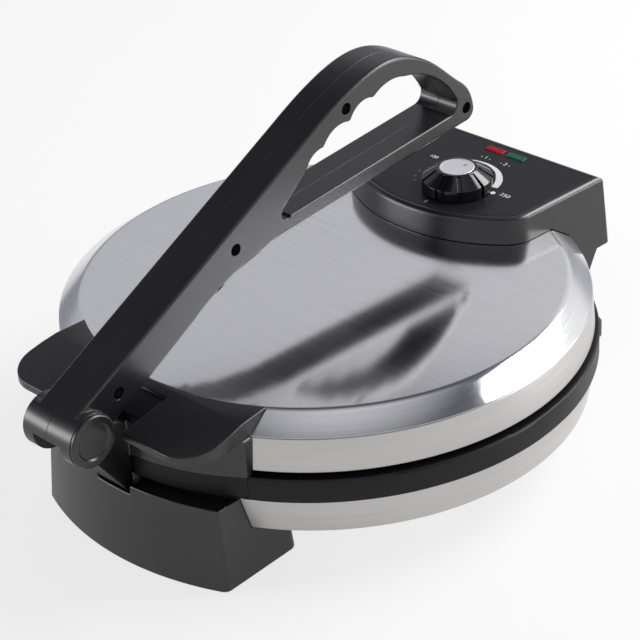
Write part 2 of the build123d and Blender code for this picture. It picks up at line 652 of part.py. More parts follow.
# Rear foot: a low wide foot that carries the tower of the lid's hinge.
with BuildPart() as rear_hollow:
    with BuildSketch(SIDE.offset(-REAR_FOOT_HALF_W + FOOT_WALL)):
        add(rear_foot_side(FOOT_WALL))
    extrude(amount=2 * (REAR_FOOT_HALF_W - FOOT_WALL))
    add(hollow_core(PAD_REAR_Y), mode=Mode.SUBTRACT)

with BuildPart() as rear_foot:
    with BuildSketch(SIDE.offset(-REAR_FOOT_HALF_W)):
        add(rear_foot_side(0))
    extrude(amount=2 * REAR_FOOT_HALF_W)
    fillet(rear_foot.edges().filter_by(Axis.Z), FOOT_CORNER_R)
    add(rear_hollow.part, mode=Mode.SUBTRACT)
    # tower with the hinge knuckle along its top
    with BuildSketch(SIDE.offset(-TOWER_HALF_W)):
        with BuildLine():
            Polyline(
                (HINGE_Y - KNUCKLE_R, PAD_LIFT),
                (TOWER_REAR_Y, PAD_LIFT),
                (TOWER_REAR_Y, HINGE_Z),
                (HINGE_Y - KNUCKLE_R, HINGE_Z),
                close=True,
            )
        make_face()
        with Locations((HINGE_Y, HINGE_Z)):
            Circle(KNUCKLE_R)
    extrude(amount=2 * TOWER_HALF_W)
    with BuildSketch(SIDE.offset(-TOWER_SLOT_HALF_W)):
        with Locations((HINGE_Y, HINGE_Z)):
            Rectangle(4 * KNUCKLE_R, 4 * KNUCKLE_R)
    extrude(amount=2 * TOWER_SLOT_HALF_W, mode=Mode.SUBTRACT)
    with BuildSketch(SIDE.offset(-TOWER_HALF_W)):
        with Locations((HINGE_Y, HINGE_Z)):
            Circle(HINGE_PIN_R)
    extrude(amount=2 * TOWER_HALF_W, mode=Mode.SUBTRACT)
    # hole for the cord gland
    with BuildSketch(GLAND_PLANE):
        Circle(GLAND_R)
    extrude(amount=-(2 * KNUCKLE_R + FOOT_WALL), mode=Mode.SUBTRACT)
    add(band_envelope(FOOT_CLEAR), mode=Mode.SUBTRACT)
    with BuildSketch(GROUND.offset(PAD_LIFT)):
        with Locations((-PAD_X, PAD_REAR_Y), (PAD_X, PAD_REAR_Y)):
            Circle(PAD_R)
    extrude(amount=PAD_SEAT, mode=Mode.SUBTRACT)
    with BuildSketch(GROUND.offset(FLOOR_Z)):
        with Locations(*FOOT_SCREW_PLACES):
            Circle(SCREW_SHANK_R)
    extrude(amount=-FOOT_SCREW_DEPTH, mode=Mode.SUBTRACT)
    # hole for the leads on their way up into the base
    with BuildSketch(GROUND.offset(FLOOR_Z)):
        with Locations((0, LEAD_HOLE_Y)):
            Circle(LEAD_HOLE_R)
    extrude(amount=-2 * FOOT_WALL, mode=Mode.SUBTRACT)
save(rear_foot.part, "rear_foot")

# Gland in the tower's rear face, where the supply cord goes in.
with BuildPart() as cord_gland:
    with BuildSketch(GLAND_PLANE):
        Circle(GLAND_R + GLAND_FLANGE)
    extrude(amount=GLAND_REACH)
    fillet(cord_gland.faces().sort_by(Axis.Y)[-1].edges(), GLAND_EDGE_R)
    with BuildSketch(GLAND_PLANE):
        Circle(GLAND_R)
    extrude(amount=-GLAND_SLEEVE)
    with BuildSketch(GLAND_PLANE.offset(GLAND_REACH)):
        Circle(GLAND_BORE_R)
    extrude(amount=-(GLAND_REACH + GLAND_SLEEVE), mode=Mode.SUBTRACT)
save(cord_gland.part, "cord_gland")

# Rubber pads, one in each corner of the two feet.
with BuildPart() as foot_pads:
    with BuildSketch(GROUND):
        with Locations(*[(x, y) for x in (-PAD_X, PAD_X) for y in (PAD_FRONT_Y, PAD_REAR_Y)]):
            Circle(PAD_R)
    extrude(amount=PAD_H)
    chamfer(foot_pads.faces().group_by(Axis.Z)[0].edges(), PAD_EDGE)
save(foot_pads.part, "foot_pads")

# Screws through the bottom cover into the bosses of the two feet.
with BuildPart() as foot_screws:
    with BuildSketch(GROUND.offset(COVER_Z + SHEET)):
        with Locations(*FOOT_SCREW_PLACES):
            Circle(SCREW_HEAD_R)
    extrude(amount=SCREW_HEAD_H)
    with BuildSketch(GROUND.offset(COVER_Z + SHEET)):
        with Locations(*FOOT_SCREW_PLACES):
            Circle(SCREW_SHANK_R - SCREW_THREAD_GAP)
    extrude(amount=-(FOOT_SCREW_DEPTH + SHEET))
save(foot_screws.part, "foot_screws")

# ---------------------------------------------------------------- lid shell
# Pressed steel top of the lid: flat, with a bevelled shoulder and a skirt inside the side band.
TOP_HOLE_R = 24.0
with BuildPart() as lid_cover:
    with BuildSketch(FRONT):
        with BuildLine():
            Polyline(
                (0, LID_TOP_Z),
                (FLAT_R, LID_TOP_Z),
                (SEAM_R, SEAM_Z + SHEET_EDGE / 2),
                (SEAM_R - SHEET_EDGE / 2, SEAM_Z),
                (COVER_SKIRT_R, SEAM_Z),
                (COVER_SKIRT_R, SEAM_Z - COVER_SKIRT),
                (COVER_SKIRT_R - SHEET, SEAM_Z - COVER_SKIRT),
                (COVER_SKIRT_R - SHEET, SEAM_Z + SHEET_EDGE / 2),
                (FLAT_R - SHEET_EDGE / 2, LID_INSIDE_Z),
                (0, LID_INSIDE_Z),
                close=True,
            )
        make_face()
    revolve(axis=BODY_AXIS)
    with BuildSketch(GROUND.offset(LID_INSIDE_Z)):
        with Locations((KNOB_X, KNOB_Y)):
            Circle(TOP_HOLE_R)
        with Locations(*BOX_SCREW_PLACES):
            Circle(SCREW_SHANK_R + SHEET_GAP)
    extrude(amount=2 * SHEET, mode=Mode.SUBTRACT)
save(lid_cover.part, "lid_cover")

# Steel side band of the lid, with a flange turned in under it.
with BuildPart() as lid_side_band:
    with BuildSketch(FRONT):
        with BuildLine():
            Polyline(
                (SEAM_R, SEAM_Z),
                (LID_BOTTOM_R, LID_BOTTOM_Z + SHEET_EDGE),
                (LID_BOTTOM_R - SHEET_EDGE, LID_BOTTOM_Z),
                (LID_BOTTOM_R - LID_FLANGE, LID_BOTTOM_Z),
                (LID_BOTTOM_R - LID_FLANGE, LID_BOTTOM_Z + SHEET),
                (LID_BOTTOM_R - SHEET, LID_BOTTOM_Z + SHEET),
                (SEAM_R - SHEET, SEAM_Z),
                close=True,
            )
        make_face()
    revolve(axis=BODY_AXIS)
    for plane in BRACKET_SCREW_PLANES:
        with BuildSketch(plane):
            Circle(SCREW_SHANK_R + SHEET_GAP)
        extrude(amount=4 * SHEET, mode=Mode.SUBTRACT)
save(lid_side_band.part, "lid_side_band")

# Dark moulded rim around the upper plate, set back under the side band.
with BuildPart() as lid_rim:
    with BuildSketch(FRONT):
        with BuildLine():
            Polyline(
                (RING_INNER_R, RING_TOP_Z + LID_RIM_GAP),
                (LID_RIM_OUTER_R, RING_TOP_Z + LID_RIM_GAP),
                (LID_RIM_OUTER_R, LID_BOTTOM_Z),
                (LID_BOTTOM_R - LID_FLANGE - SEAT_GAP, LID_BOTTOM_Z),
                (LID_BOTTOM_R - LID_FLANGE - SEAT_GAP, RING_TOP_Z + LID_RIM_H),
                (RING_INNER_R, RING_TOP_Z + LID_RIM_H),
                close=True,
            )
        make_face()
    revolve(axis=BODY_AXIS)
save(lid_rim.part, "lid_rim")

save(heated_plate(UPPER_PLATE_BOTTOM_Z), "upper_plate")
save(element(UPPER_PLATE_TOP_Z + ELEMENT_TUBE_R, tail_up=True), "upper_element")
save(shield(UPPER_SHIELD_Z, edge_up=False), "upper_heat_shield")
save(posts(UPPER_PLATE_TOP_Z, LID_INSIDE_Z), "upper_plate_posts")


# ---------------------------------------------------------------- front bracket of the lid
def lid_envelope(clear):
    """Solid of the closed lid's outer skin, grown by a clearance."""
    with BuildPart() as envelope:
        with BuildSketch(FRONT):
            with BuildLine():
                Polyline(
                    (0, 0),
                    (LID_BOTTOM_R + clear, 0),
                    (LID_BOTTOM_R + clear, LID_BOTTOM_Z + SHEET_EDGE),
                    (SEAM_R + clear, SEAM_Z + SHEET_EDGE / 2),
                    (FLAT_R + clear, LID_TOP_Z + clear),
                    (0, LID_TOP_Z + clear),
                    close=True,
                )
            make_face()
        revolve(axis=BODY_AXIS)
    return envelope.part


PIVOT = (PIVOT_Y, PIVOT_Z)
TIP_REAR_Y = -(SKIRT_FRONT_Y - BOSS_SETBACK + TIP_GAP)
WEB_ROOT_Y = -SKIRT_FRONT_Y + WEB_ROOT_DEPTH
WING_REAR_Y = sqrt(FLAT_R**2 - WING_REAR_HALF_W**2) - WING_REAR_CUT
with BuildPart() as lid_bracket:
    # skirt round the lid's front
    with BuildSketch(GROUND.offset(BRACKET_BOTTOM_Z)):
        with Locations((0, SKIRT_ARC_R - SKIRT_FRONT_Y)):
            Circle(SKIRT_ARC_R)
        with Locations((0, -SKIRT_FRONT_Y)):
            Rectangle(2 * BRACKET_HALF_W, SKIRT_FRONT_Y, mode=Mode.INTERSECT)
        Circle(FLAT_R, mode=Mode.SUBTRACT)
    extrude(amount=WING_LIP_Z - WING_LIP_T - BRACKET_BOTTOM_Z)
    # wings: two shelves with a lip for the fingers, either side of the arm
    with BuildSketch(GROUND.offset(WING_LIP_Z - WING_LIP_T)):
        with BuildLine():
            Polyline(
                (-WING_REAR_HALF_W, -WING_REAR_Y),
                (-BRACKET_HALF_W, -WING_SIDE_Y),
                (-BRACKET_HALF_W, -WING_FRONT_Y),
                (-WING_INNER_X, -WING_FRONT_Y),
                (-WING_INNER_X, -SKIRT_FRONT_Y + SKIRT_FRONT_GAP),
                (WING_INNER_X, -SKIRT_FRONT_Y + SKIRT_FRONT_GAP),
                (WING_INNER_X, -WING_FRONT_Y),
                (BRACKET_HALF_W, -WING_FRONT_Y),
                (BRACKET_HALF_W, -WING_SIDE_Y),
                (WING_REAR_HALF_W, -WING_REAR_Y),
                close=True,
            )
        make_face()
        outer_corners = vertices().group_by(Axis.Y)[0].sort_by(Axis.X)[0::3]
        inner_corners = vertices().group_by(Axis.Y)[0].sort_by(Axis.X)[1:3]
        fillet(outer_corners, WING_CORNER_R)
        fillet(inner_corners, WING_INNER_CORNER_R)
        Circle(FLAT_R, mode=Mode.SUBTRACT)
    extrude(amount=WING_TOP_Z - WING_LIP_Z + WING_LIP_T)
    # the top falls from the flat's edge towards the lip
    with BuildSketch(SIDE.offset(-BRACKET_HALF_W)):
        with BuildLine():
            Polyline(
                (-WING_REAR_Y, WING_TOP_Z),
                (-FLAT_R, WING_TOP_Z),
                (-WING_FRONT_Y, WING_LIP_Z),
                (-WING_FRONT_Y, 2 * WING_TOP_Z),
                (-WING_REAR_Y, 2 * WING_TOP_Z),
                close=True,
            )
        make_face()
    extrude(amount=2 * BRACKET_HALF_W, mode=Mode.SUBTRACT)
    # the saddle under the arm lies lower than the wings
    with BuildSketch(SIDE.offset(-WING_INNER_X)):
        with BuildLine():
            Polyline(
                (-FLAT_R - SADDLE_REAR_GAP, WING_TOP_Z),
                (-FLAT_R - SADDLE_REAR_GAP, SADDLE_Z),
                (-SKIRT_FRONT_Y, SADDLE_FRONT_Z),
                (-SKIRT_FRONT_Y, WING_TOP_Z),
                close=True,
            )
        make_face()
    extrude(amount=2 * WING_INNER_X, mode=Mode.SUBTRACT)
    # web from the skirt to the eye, with its tip down in the foot's notch
    with BuildSketch(SIDE.offset(-WEB_HALF_T)):
        with BuildLine():
            Polyline(
                PIVOT,
                at(EYE_R, WEB_FRONT_DEG, PIVOT),
                (TIP_FRONT_Y, TIP_Z),
                (TIP_REAR_Y, TIP_Z),
                (TIP_REAR_Y, BRACKET_BOTTOM_Z),
                (WEB_ROOT_Y, BRACKET_BOTTOM_Z),
                at((WEB_ROOT_Y - PIVOT_Y) / cos(radians(WEB_TOP_DEG)), WEB_TOP_DEG, PIVOT),
                at(EYE_R, WEB_TOP_DEG, PIVOT),
                close=True,
            )
        make_face()
        with Locations(PIVOT):
            Circle(EYE_R)
            Circle(ARM_PIN_R, mode=Mode.SUBTRACT)
    extrude(amount=2 * WEB_HALF_T)
    add(lid_envelope(SEAT_GAP), mode=Mode.SUBTRACT)
    for plane in BRACKET_SCREW_PLANES:
        with BuildSketch(plane):
            Circle(SCREW_SHANK_R)
        extrude(amount=BRACKET_SCREW_L, mode=Mode.SUBTRACT)
save(lid_bracket.part, "lid_bracket")

# Steel pin that the arm turns on, pressed in the bracket's eye.
ARM_PIN_HALF_L = BARREL_HALF_L - CAP_T - ARM_PIN_END_GAP
with BuildPart() as arm_pin:
    with BuildSketch(PIN_SIDE.offset(-ARM_PIN_HALF_L)):
        Circle(ARM_PIN_R)
    extrude(amount=2 * ARM_PIN_HALF_L)
    chamfer(arm_pin.edges(), ARM_PIN_EDGE)
save(arm_pin.part, "arm_pin")

# ---------------------------------------------------------------- folding arm
# Side view of the arm, measured backwards and up from its pin.  A straight shank leaves the
# barrel and swells into an open grip.
SHANK_TOP = (171.0, 100.5)
GRIP_TOP = ((205.0, 115.3), (237.0, 120.7), (271.0, 108.1), (295.0, 87.5))
NOSE = (308.0, 67.0)
NOSE_HEADING = (0.16, -1.0)
NOSE_LOW = (301.5, 59.4)
GRIP_HEEL = (139.0, 51.1)
HEEL_STEP = (134.0, 49.5)
SHANK_BEND = ((107.0, 43.4), (79.0, 30.1))
SHANK_FOOT = (19.0, -0.9)
SHANK_TOP_DEG = 116.0
SHANK_HEADING = (0.89, 0.45)
HOLE_FLOOR = ((155.0, 61.1), (287.0, 67.9))
HOLE_BACK = ((292.8, 76.3), (277.8, 94.3), (249.4, 106.9))
FINGER_CUSPS = ((223.6, 104.1), (204.4, 97.0), (182.7, 89.9), (169.6, 83.3))
FINGER_DEPTHS = (3.2, 4.2, 4.2, 2.4)
CUSP_R = 2.5              # rounding between two finger hollows
HOLE_FRONT = ((149.6, 67.1), (148.6, 62.3))
ARM_SCREWS = ((112.7, 58.5), (201.5, 105.7), (301.0, 68.0), (24.2, 14.3))


def bulge(start, end, depth):
    """Middle point of a finger hollow between two cusps, off the chord by its depth."""
    length = sqrt((end[0] - start[0]) ** 2 + (end[1] - start[1]) ** 2)
    normal = ((end[1] - start[1]) / length, -(end[0] - start[0]) / length)
    return ((start[0] + end[0]) / 2 + normal[0] * depth, (start[1] + end[1]) / 2 + normal[1] * depth)


def arm_outline():
    """Outer outline of the arm's blade, without the barrel."""
    with BuildSketch() as outline:
        with BuildLine():
            Line((0, 0), at(BARREL_R, SHANK_TOP_DEG))
            Line(at(BARREL_R, SHANK_TOP_DEG), SHANK_TOP)
            Spline(SHANK_TOP, *GRIP_TOP, NOSE, tangents=(SHANK_HEADING, NOSE_HEADING))
            TangentArc(NOSE, NOSE_LOW, tangent=NOSE_HEADING)
            Line(NOSE_LOW, GRIP_HEEL)
            Line(GRIP_HEEL, HEEL_STEP)
            ThreePointArc(HEEL_STEP, *SHANK_BEND)
            Line(SHANK_BEND[1], SHANK_FOOT)
            Line(SHANK_FOOT, (0, 0))
        make_face()
    return outline.sketch


def finger_hole():
    """Opening of the grip, with four finger hollows along its upper side."""
    cusps = (HOLE_BACK[-1],) + FINGER_CUSPS
    with BuildSketch() as hole:
        with BuildLine():
            Line(*HOLE_FLOOR)
            TangentArc(HOLE_FLOOR[1], HOLE_BACK[0], tangent=(1.0, 0.05))
            ThreePointArc(*HOLE_BACK)
            for start, end, depth in zip(cusps, cusps[1:], FINGER_DEPTHS):
                ThreePointArc(start, bulge(start, end, depth), end)
            Line(FINGER_CUSPS[-1], HOLE_FRONT[0])
            ThreePointArc(*HOLE_FRONT, HOLE_FLOOR[0])
        make_face()
        fillet([corner for cusp in cusps for corner in vertices().sort_by_distance(cusp)[:1]], CUSP_R)
    return hole.sketch


def slot_wedge():
    """Sector of the barrel that stays open, so the arm can turn past the bracket's web."""
    reach = BARREL_R * 2
    with BuildSketch() as wedge:
        with BuildLine():
            Polyline(
                (0, 0),
                at(reach, SLOT_FRONT_DEG),
                at(reach * 1.4, (SLOT_FRONT_DEG + 225) / 2 + 10),
                at(reach * 1.4, 270),
                at(reach * 1.4, 310),
                at(reach, SLOT_REAR_DEG),
                close=True,
            )
        make_face()
    return wedge.sketch


SLOT_HALF_W = WEB_HALF_T + WEB_SIDE_GAP
for side_name, hand in (("left", -1), ("right", 1)):
    with BuildPart() as arm_half:
        with BuildSketch(PIN_SIDE):
            add(arm_outline())
            add(finger_hole(), mode=Mode.SUBTRACT)
        extrude(amount=hand * ARM_HALF_T)
        outer_face = arm_half.faces().sort_by(Axis.X)[-1 if hand > 0 else 0]
        grip_edges = [edge for wire in outer_face.inner_wires() for edge in wire.edges()]
        fillet(outer_face.outer_wire().edges(), ARM_EDGE_R)
        fillet(grip_edges, GRIP_EDGE_R)
        with BuildSketch(PIN_SIDE):
            Circle(BARREL_R)
        extrude(amount=hand * BARREL_HALF_L)
        # pocket and slot for the bracket's eye and web
        with BuildSketch(PIN_SIDE):
            Circle(EYE_R + EYE_GAP)
            add(slot_wedge())
        extrude(amount=hand * SLOT_HALF_W, mode=Mode.SUBTRACT)
        with BuildSketch(PIN_SIDE):
            Circle(ARM_PIN_R + RUNNING_CLEAR)
        extrude(amount=hand * BARREL_HALF_L, mode=Mode.SUBTRACT)
        # seat of the end cap
        with BuildSketch(PIN_SIDE.offset(hand * (BARREL_HALF_L - CAP_T))):
            Circle(CAP_SEAT_R)
        extrude(amount=hand * CAP_T, mode=Mode.SUBTRACT)
        # screws go in from the right, through both halves
        with BuildSketch(PIN_SIDE):
            with Locations(*ARM_SCREWS):
                Circle(SCREW_SHANK_R)
        extrude(amount=hand * (ARM_HALF_T - SCREW_END_WALL), mode=Mode.SUBTRACT)
        if hand > 0:
            with BuildSketch(PIN_SIDE.offset(ARM_HALF_T)):
                with Locations(*ARM_SCREWS):
                    Circle(RECESS_R)
            extrude(amount=-RECESS_DEPTH, mode=Mode.SUBTRACT)
    save(arm_half.part, f"arm_{side_name}_half")

# Screws that hold the two halves of the arm together.
with BuildPart() as arm_screws:
    with BuildSketch(PIN_SIDE.offset(ARM_HALF_T - RECESS_DEPTH)):
        with Locations(*ARM_SCREWS):
            Circle(SCREW_HEAD_R)
    extrude(amount=SCREW_HEAD_H)
    with BuildSketch(PIN_SIDE.offset(ARM_HALF_T - RECESS_DEPTH)):
        with Locations(*ARM_SCREWS):
            Circle(SCREW_SHANK_R - SCREW_THREAD_GAP)
    extrude(amount=-(2 * ARM_HALF_T - RECESS_DEPTH - SCREW_END_WALL))
save(arm_screws.part, "arm_screws")

# End caps of the barrel: a dished one on the right and a flush one on the left.
with BuildPart() as right_cap:
    with BuildSketch(PIN_SIDE.offset(BARREL_HALF_L - CAP_T)):
        Circle(CAP_SEAT_R - CAP_SEAT_GAP)
    extrude(amount=CAP_T)
    with BuildSketch(PIN_SIDE.offset(BARREL_HALF_L)):
        Circle(CAP_RIM_R)
    extrude(amount=CAP_T)
    fillet(right_cap.faces().sort_by(Axis.X)[-1].edges(), CAP_EDGE_R)
    with BuildSketch(PIN_SIDE.offset(BARREL_HALF_L + CAP_T)):
        Circle(CAP_DISH_R)
    extrude(amount=-CAP_DISH, mode=Mode.SUBTRACT, taper=CAP_DISH_TAPER_DEG)
save(right_cap.part, "barrel_cap_right")

with BuildPart() as left_cap:
    with BuildSketch(PIN_SIDE.offset(-BARREL_HALF_L)):
        Circle(CAP_SEAT_R - CAP_SEAT_GAP)
    extrude(amount=CAP_T)
save(left_cap.part, "barrel_cap_left")


# ---------------------------------------------------------------- control box
def box_plan(inset):
    """D-shaped plan of the box at its rear lower edge, moved in by an inset."""
    front_half = BOX_FRONT_HALF_W - inset
    rear_half = BOX_REAR_HALF_W - inset
    apex = BOX_APEX_Y + inset
    arc_r = BOX_ARC_R - inset
    corner_y = apex + arc_r - sqrt(arc_r**2 - front_half**2)
    with BuildSketch() as plan:
        with BuildLine():
            ThreePointArc((-front_half, corner_y), (0, apex), (front_half, corner_y))
            Polyline(
                (front_half, corner_y),
                (rear_half, BOX_REAR_Y - inset),
                (-rear_half, BOX_REAR_Y - inset),
                (-front_half, corner_y),
            )
        make_face()
        fillet(vertices().group_by(Axis.Y)[0], BOX_CORNER_R - inset)
        fillet(vertices().group_by(Axis.Y)[-1], max(BOX_REAR_CORNER_R - inset / 2, 0.8))
    return plan.sketch


with BuildPart() as control_box:
    with BuildSketch(GROUND.offset(BOX_REAR_Z)):
        add(box_plan(0))
    extrude(amount=BOX_TOP_Z - BOX_REAR_Z, taper=BOX_DRAFT_DEG)
    fillet(control_box.faces().sort_by(Axis.Z)[-1].edges(), BOX_EDGE_R)
    # the side walls reach lower in front of the hinge
    with BuildSketch(GROUND.offset(BOX_SKIRT_Z)):
        add(box_plan(0))
    extrude(amount=BOX_REAR_Z - BOX_SKIRT_Z)
    with BuildSketch(SIDE.offset(-2 * BOX_REAR_HALF_W)):
        with BuildLine():
            Polyline(
                (HINGE_Y - BOX_NOTCH_Y, BOX_SKIRT_Z),
                (HINGE_Y - BOX_NOTCH_TOP_Y, BOX_REAR_Z),
                (2 * BOX_REAR_Y, BOX_REAR_Z),
                (2 * BOX_REAR_Y, BOX_SKIRT_Z),
                close=True,
            )
        make_face()
    extrude(amount=4 * BOX_REAR_HALF_W, mode=Mode.SUBTRACT)
    # hollow, open below
    with BuildSketch(GROUND.offset(BOX_SKIRT_Z)):
        add(box_plan(BOX_WALL))
    extrude(amount=BOX_REAR_Z - BOX_SKIRT_Z, mode=Mode.SUBTRACT)
    with BuildSketch(GROUND.offset(BOX_REAR_Z)):
        add(box_plan(BOX_WALL))
    extrude(amount=BOX_INSIDE_Z - BOX_REAR_Z, taper=BOX_DRAFT_DEG, mode=Mode.SUBTRACT)
    # ears on the hinge pin
    for ear_x in (-EAR_OUTER_X, EAR_INNER_X):
        with BuildSketch(SIDE.offset(ear_x)):
            with BuildLine():
                Polyline(
                    (HINGE_Y - KNUCKLE_R, HINGE_Z),
                    (HINGE_Y + KNUCKLE_R, HINGE_Z),
                    (HINGE_Y + KNUCKLE_R, BOX_REAR_Z),
                    (EAR_TOP_Y, BOX_INSIDE_Z),
                    (EAR_TOP_Y - 2 * KNUCKLE_R, BOX_INSIDE_Z),
                    close=True,
                )
            make_face()
            with Locations((HINGE_Y, HINGE_Z)):
                Circle(KNUCKLE_R)
                Circle(BUSH_R, mode=Mode.SUBTRACT)
        extrude(amount=EAR_T)
    # recess for the panel, and holes for the thermostat and the lamps
    with BuildSketch(GROUND.offset(BOX_TOP_Z)):
        add(box_plan(PANEL_INSET - PANEL_GAP))
    extrude(amount=-PANEL_T, mode=Mode.SUBTRACT)
    with BuildSketch(GROUND.offset(BOX_TOP_Z)):
        with Locations((KNOB_X, KNOB_Y)):
            Circle(BUSHING_R + BUSHING_GAP)
        with Locations((POWER_LENS_X, LENS_Y), (READY_LENS_X, LENS_Y)):
            Rectangle(*LENS_STEM)
    extrude(amount=-(PANEL_T + BOX_WALL), mode=Mode.SUBTRACT)
    # bosses that the screws from inside the lid go up into
    with BuildSketch(GROUND.offset(LID_TOP_Z)):
        with Locations(*BOX_SCREW_PLACES):
            Circle(SCREW_BOSS_R)
    extrude(amount=BOX_INSIDE_Z - LID_TOP_Z)
    with BuildSketch(GROUND.offset(LID_TOP_Z)):
        with Locations(*BOX_SCREW_PLACES):
            Circle(SCREW_SHANK_R)
    extrude(amount=BOX_SCREW_L, mode=Mode.SUBTRACT)
    add(lid_envelope(SEAT_GAP), mode=Mode.SUBTRACT)
    with BuildSketch(GROUND):
        Circle(RING_R + BOX_RING_GAP)
    extrude(amount=LID_BOTTOM_Z, mode=Mode.SUBTRACT)
save(control_box.part, "control_box")

# Satin panel let into the top of the box.
with BuildPart() as control_panel:
    with BuildSketch(GROUND.offset(PANEL_Z)):
        add(box_plan(PANEL_INSET))
        with Locations((KNOB_X, KNOB_Y)):
            Circle(BUSHING_R + BUSHING_GAP, mode=Mode.SUBTRACT)
        with Locations((POWER_LENS_X, LENS_Y), (READY_LENS_X, LENS_Y)):
            Rectangle(LENS_SIZE[0] + 2 * LENS_GAP, LENS_SIZE[1] + 2 * LENS_GAP, mode=Mode.SUBTRACT)
    extrude(amount=PANEL_T)
save(control_panel.part, "control_panel")

# Lenses of the power and ready lamps, and the neon lamps under them.
for lens_name, lens_x in (("power_lens", POWER_LENS_X), ("ready_lens", READY_LENS_X)):
    with BuildPart() as lens:
        with BuildSketch(GROUND.offset(PANEL_Z)):
            with Locations((lens_x, LENS_Y)):
                Rectangle(*LENS_SIZE)
        extrude(amount=PANEL_T + LENS_PROUD)
        chamfer(lens.faces().sort_by(Axis.Z)[-1].edges(), LENS_EDGE)
        with BuildSketch(GROUND.offset(PANEL_Z)):
            with Locations((lens_x, LENS_Y)):
                Rectangle(LENS_STEM[0] - 2 * LENS_STEM_GAP, LENS_STEM[1] - 2 * LENS_STEM_GAP)
        extrude(amount=-BOX_WALL)
    save(lens.part, lens_name)

with BuildPart() as neon_lamps:
    with BuildSketch(GROUND.offset(BOX_INSIDE_Z)):
        with Locations((POWER_LENS_X, LENS_Y), (READY_LENS_X, LENS_Y)):
            Circle(LAMP_R)
    extrude(amount=-LAMP_L)
save(neon_lamps.part, "neon_lamps")

# Thermostat hung from the top of the box by its threaded bush and nut.
with BuildPart() as thermostat:
    with BuildSketch(GROUND.offset(BOX_INSIDE_Z)):
        with Locations((KNOB_X, KNOB_Y)):
            Rectangle(THERMOSTAT_SIZE[0], THERMOSTAT_SIZE[1])
    extrude(amount=-THERMOSTAT_SIZE[2])
    fillet(thermostat.edges().filter_by(Axis.Z), THERMOSTAT_CORNER_R)
    with BuildSketch(GROUND.offset(BOX_INSIDE_Z)):
        with Locations((KNOB_X, KNOB_Y)):
            Circle(BUSHING_R)
    extrude(amount=BOX_WALL + PANEL_T + NUT_H)
    with BuildSketch(GROUND.offset(BOX_INSIDE_Z - THERMOSTAT_SIZE[2] / 2)):
        with Locations((KNOB_X, KNOB_Y)):
            Circle(SHAFT_R + RUNNING_CLEAR)
    extrude(amount=THERMOSTAT_SIZE[2] / 2 + BOX_WALL + PANEL_T + NUT_H, mode=Mode.SUBTRACT)
save(thermostat.part, "thermostat")

# Nut on the bush, above the panel.
with BuildPart() as bush_nut:
    with BuildSketch(GROUND.offset(BOX_TOP_Z)):
        with Locations((KNOB_X, KNOB_Y)):
            RegularPolygon(NUT_R, 6)
            Circle(BUSHING_R, mode=Mode.SUBTRACT)
    extrude(amount=NUT_H)
save(bush_nut.part, "bush_nut")

# Shaft of the thermostat, with a flat that drives the knob.
SHAFT_BOTTOM_Z = BOX_INSIDE_Z - THERMOSTAT_SIZE[2] / 2 + SHAFT_FOOT_GAP
with BuildPart() as thermostat_shaft:
    with BuildSketch(GROUND.offset(SHAFT_BOTTOM_Z)):
        with Locations((KNOB_X, KNOB_Y)):
            Circle(SHAFT_R)
    extrude(amount=SHAFT_TOP_Z - SHAFT_BOTTOM_Z)
    with BuildSketch(GROUND.offset(SHAFT_TOP_Z)):
        with Locations((KNOB_X + 2 * SHAFT_R - SHAFT_FLAT, KNOB_Y)):
            Rectangle(2 * SHAFT_R, 4 * SHAFT_R)
    extrude(amount=KNOB_BOTTOM_Z + HUB_RECESS - SHAFT_TOP_Z, mode=Mode.SUBTRACT)
save(thermostat_shaft.part, "thermostat_shaft")

# Knob: a sloped shoulder over a low skirt, grooved for the fingers, hollow, with a hub.
KNOB_PLANE = Plane(origin=(KNOB_X, BODY_Y + KNOB_Y, KNOB_BOTTOM_Z), x_dir=(1, 0, 0), z_dir=(0, 0, 1))
KNOB_SIDE = Plane(origin=(KNOB_X, BODY_Y + KNOB_Y, KNOB_BOTTOM_Z), x_dir=(1, 0, 0), z_dir=(0, -1, 0))
KNOB_AXIS = Axis((KNOB_X, BODY_Y + KNOB_Y, 0), (0, 0, 1))
KNOB_OUTLINE = ((KNOB_R, 0), (KNOB_R, KNOB_SKIRT_H), (KNOB_TOP_R, KNOB_H - KNOB_EDGE))
with BuildPart() as knob_grooves:
    with BuildSketch(KNOB_SIDE):
        with BuildLine():
            Polyline(
                *KNOB_OUTLINE,
                (KNOB_TOP_R - KNOB_GROOVE_DEPTH, KNOB_H - KNOB_EDGE),
                (KNOB_R - KNOB_GROOVE_DEPTH, KNOB_SKIRT_H - KNOB_GROOVE_DEPTH / 2),
                (KNOB_R - KNOB_GROOVE_DEPTH, 0),
                close=True,
            )
        make_face()
    revolve(axis=KNOB_AXIS)
    with BuildSketch(KNOB_PLANE):
        with PolarLocations(KNOB_R, KNOB_GROOVE_COUNT, start_angle=KNOB_GROOVE_TURN_DEG):
            Rectangle(KNOB_R, KNOB_GROOVE_W)
    extrude(amount=KNOB_H, mode=Mode.INTERSECT)

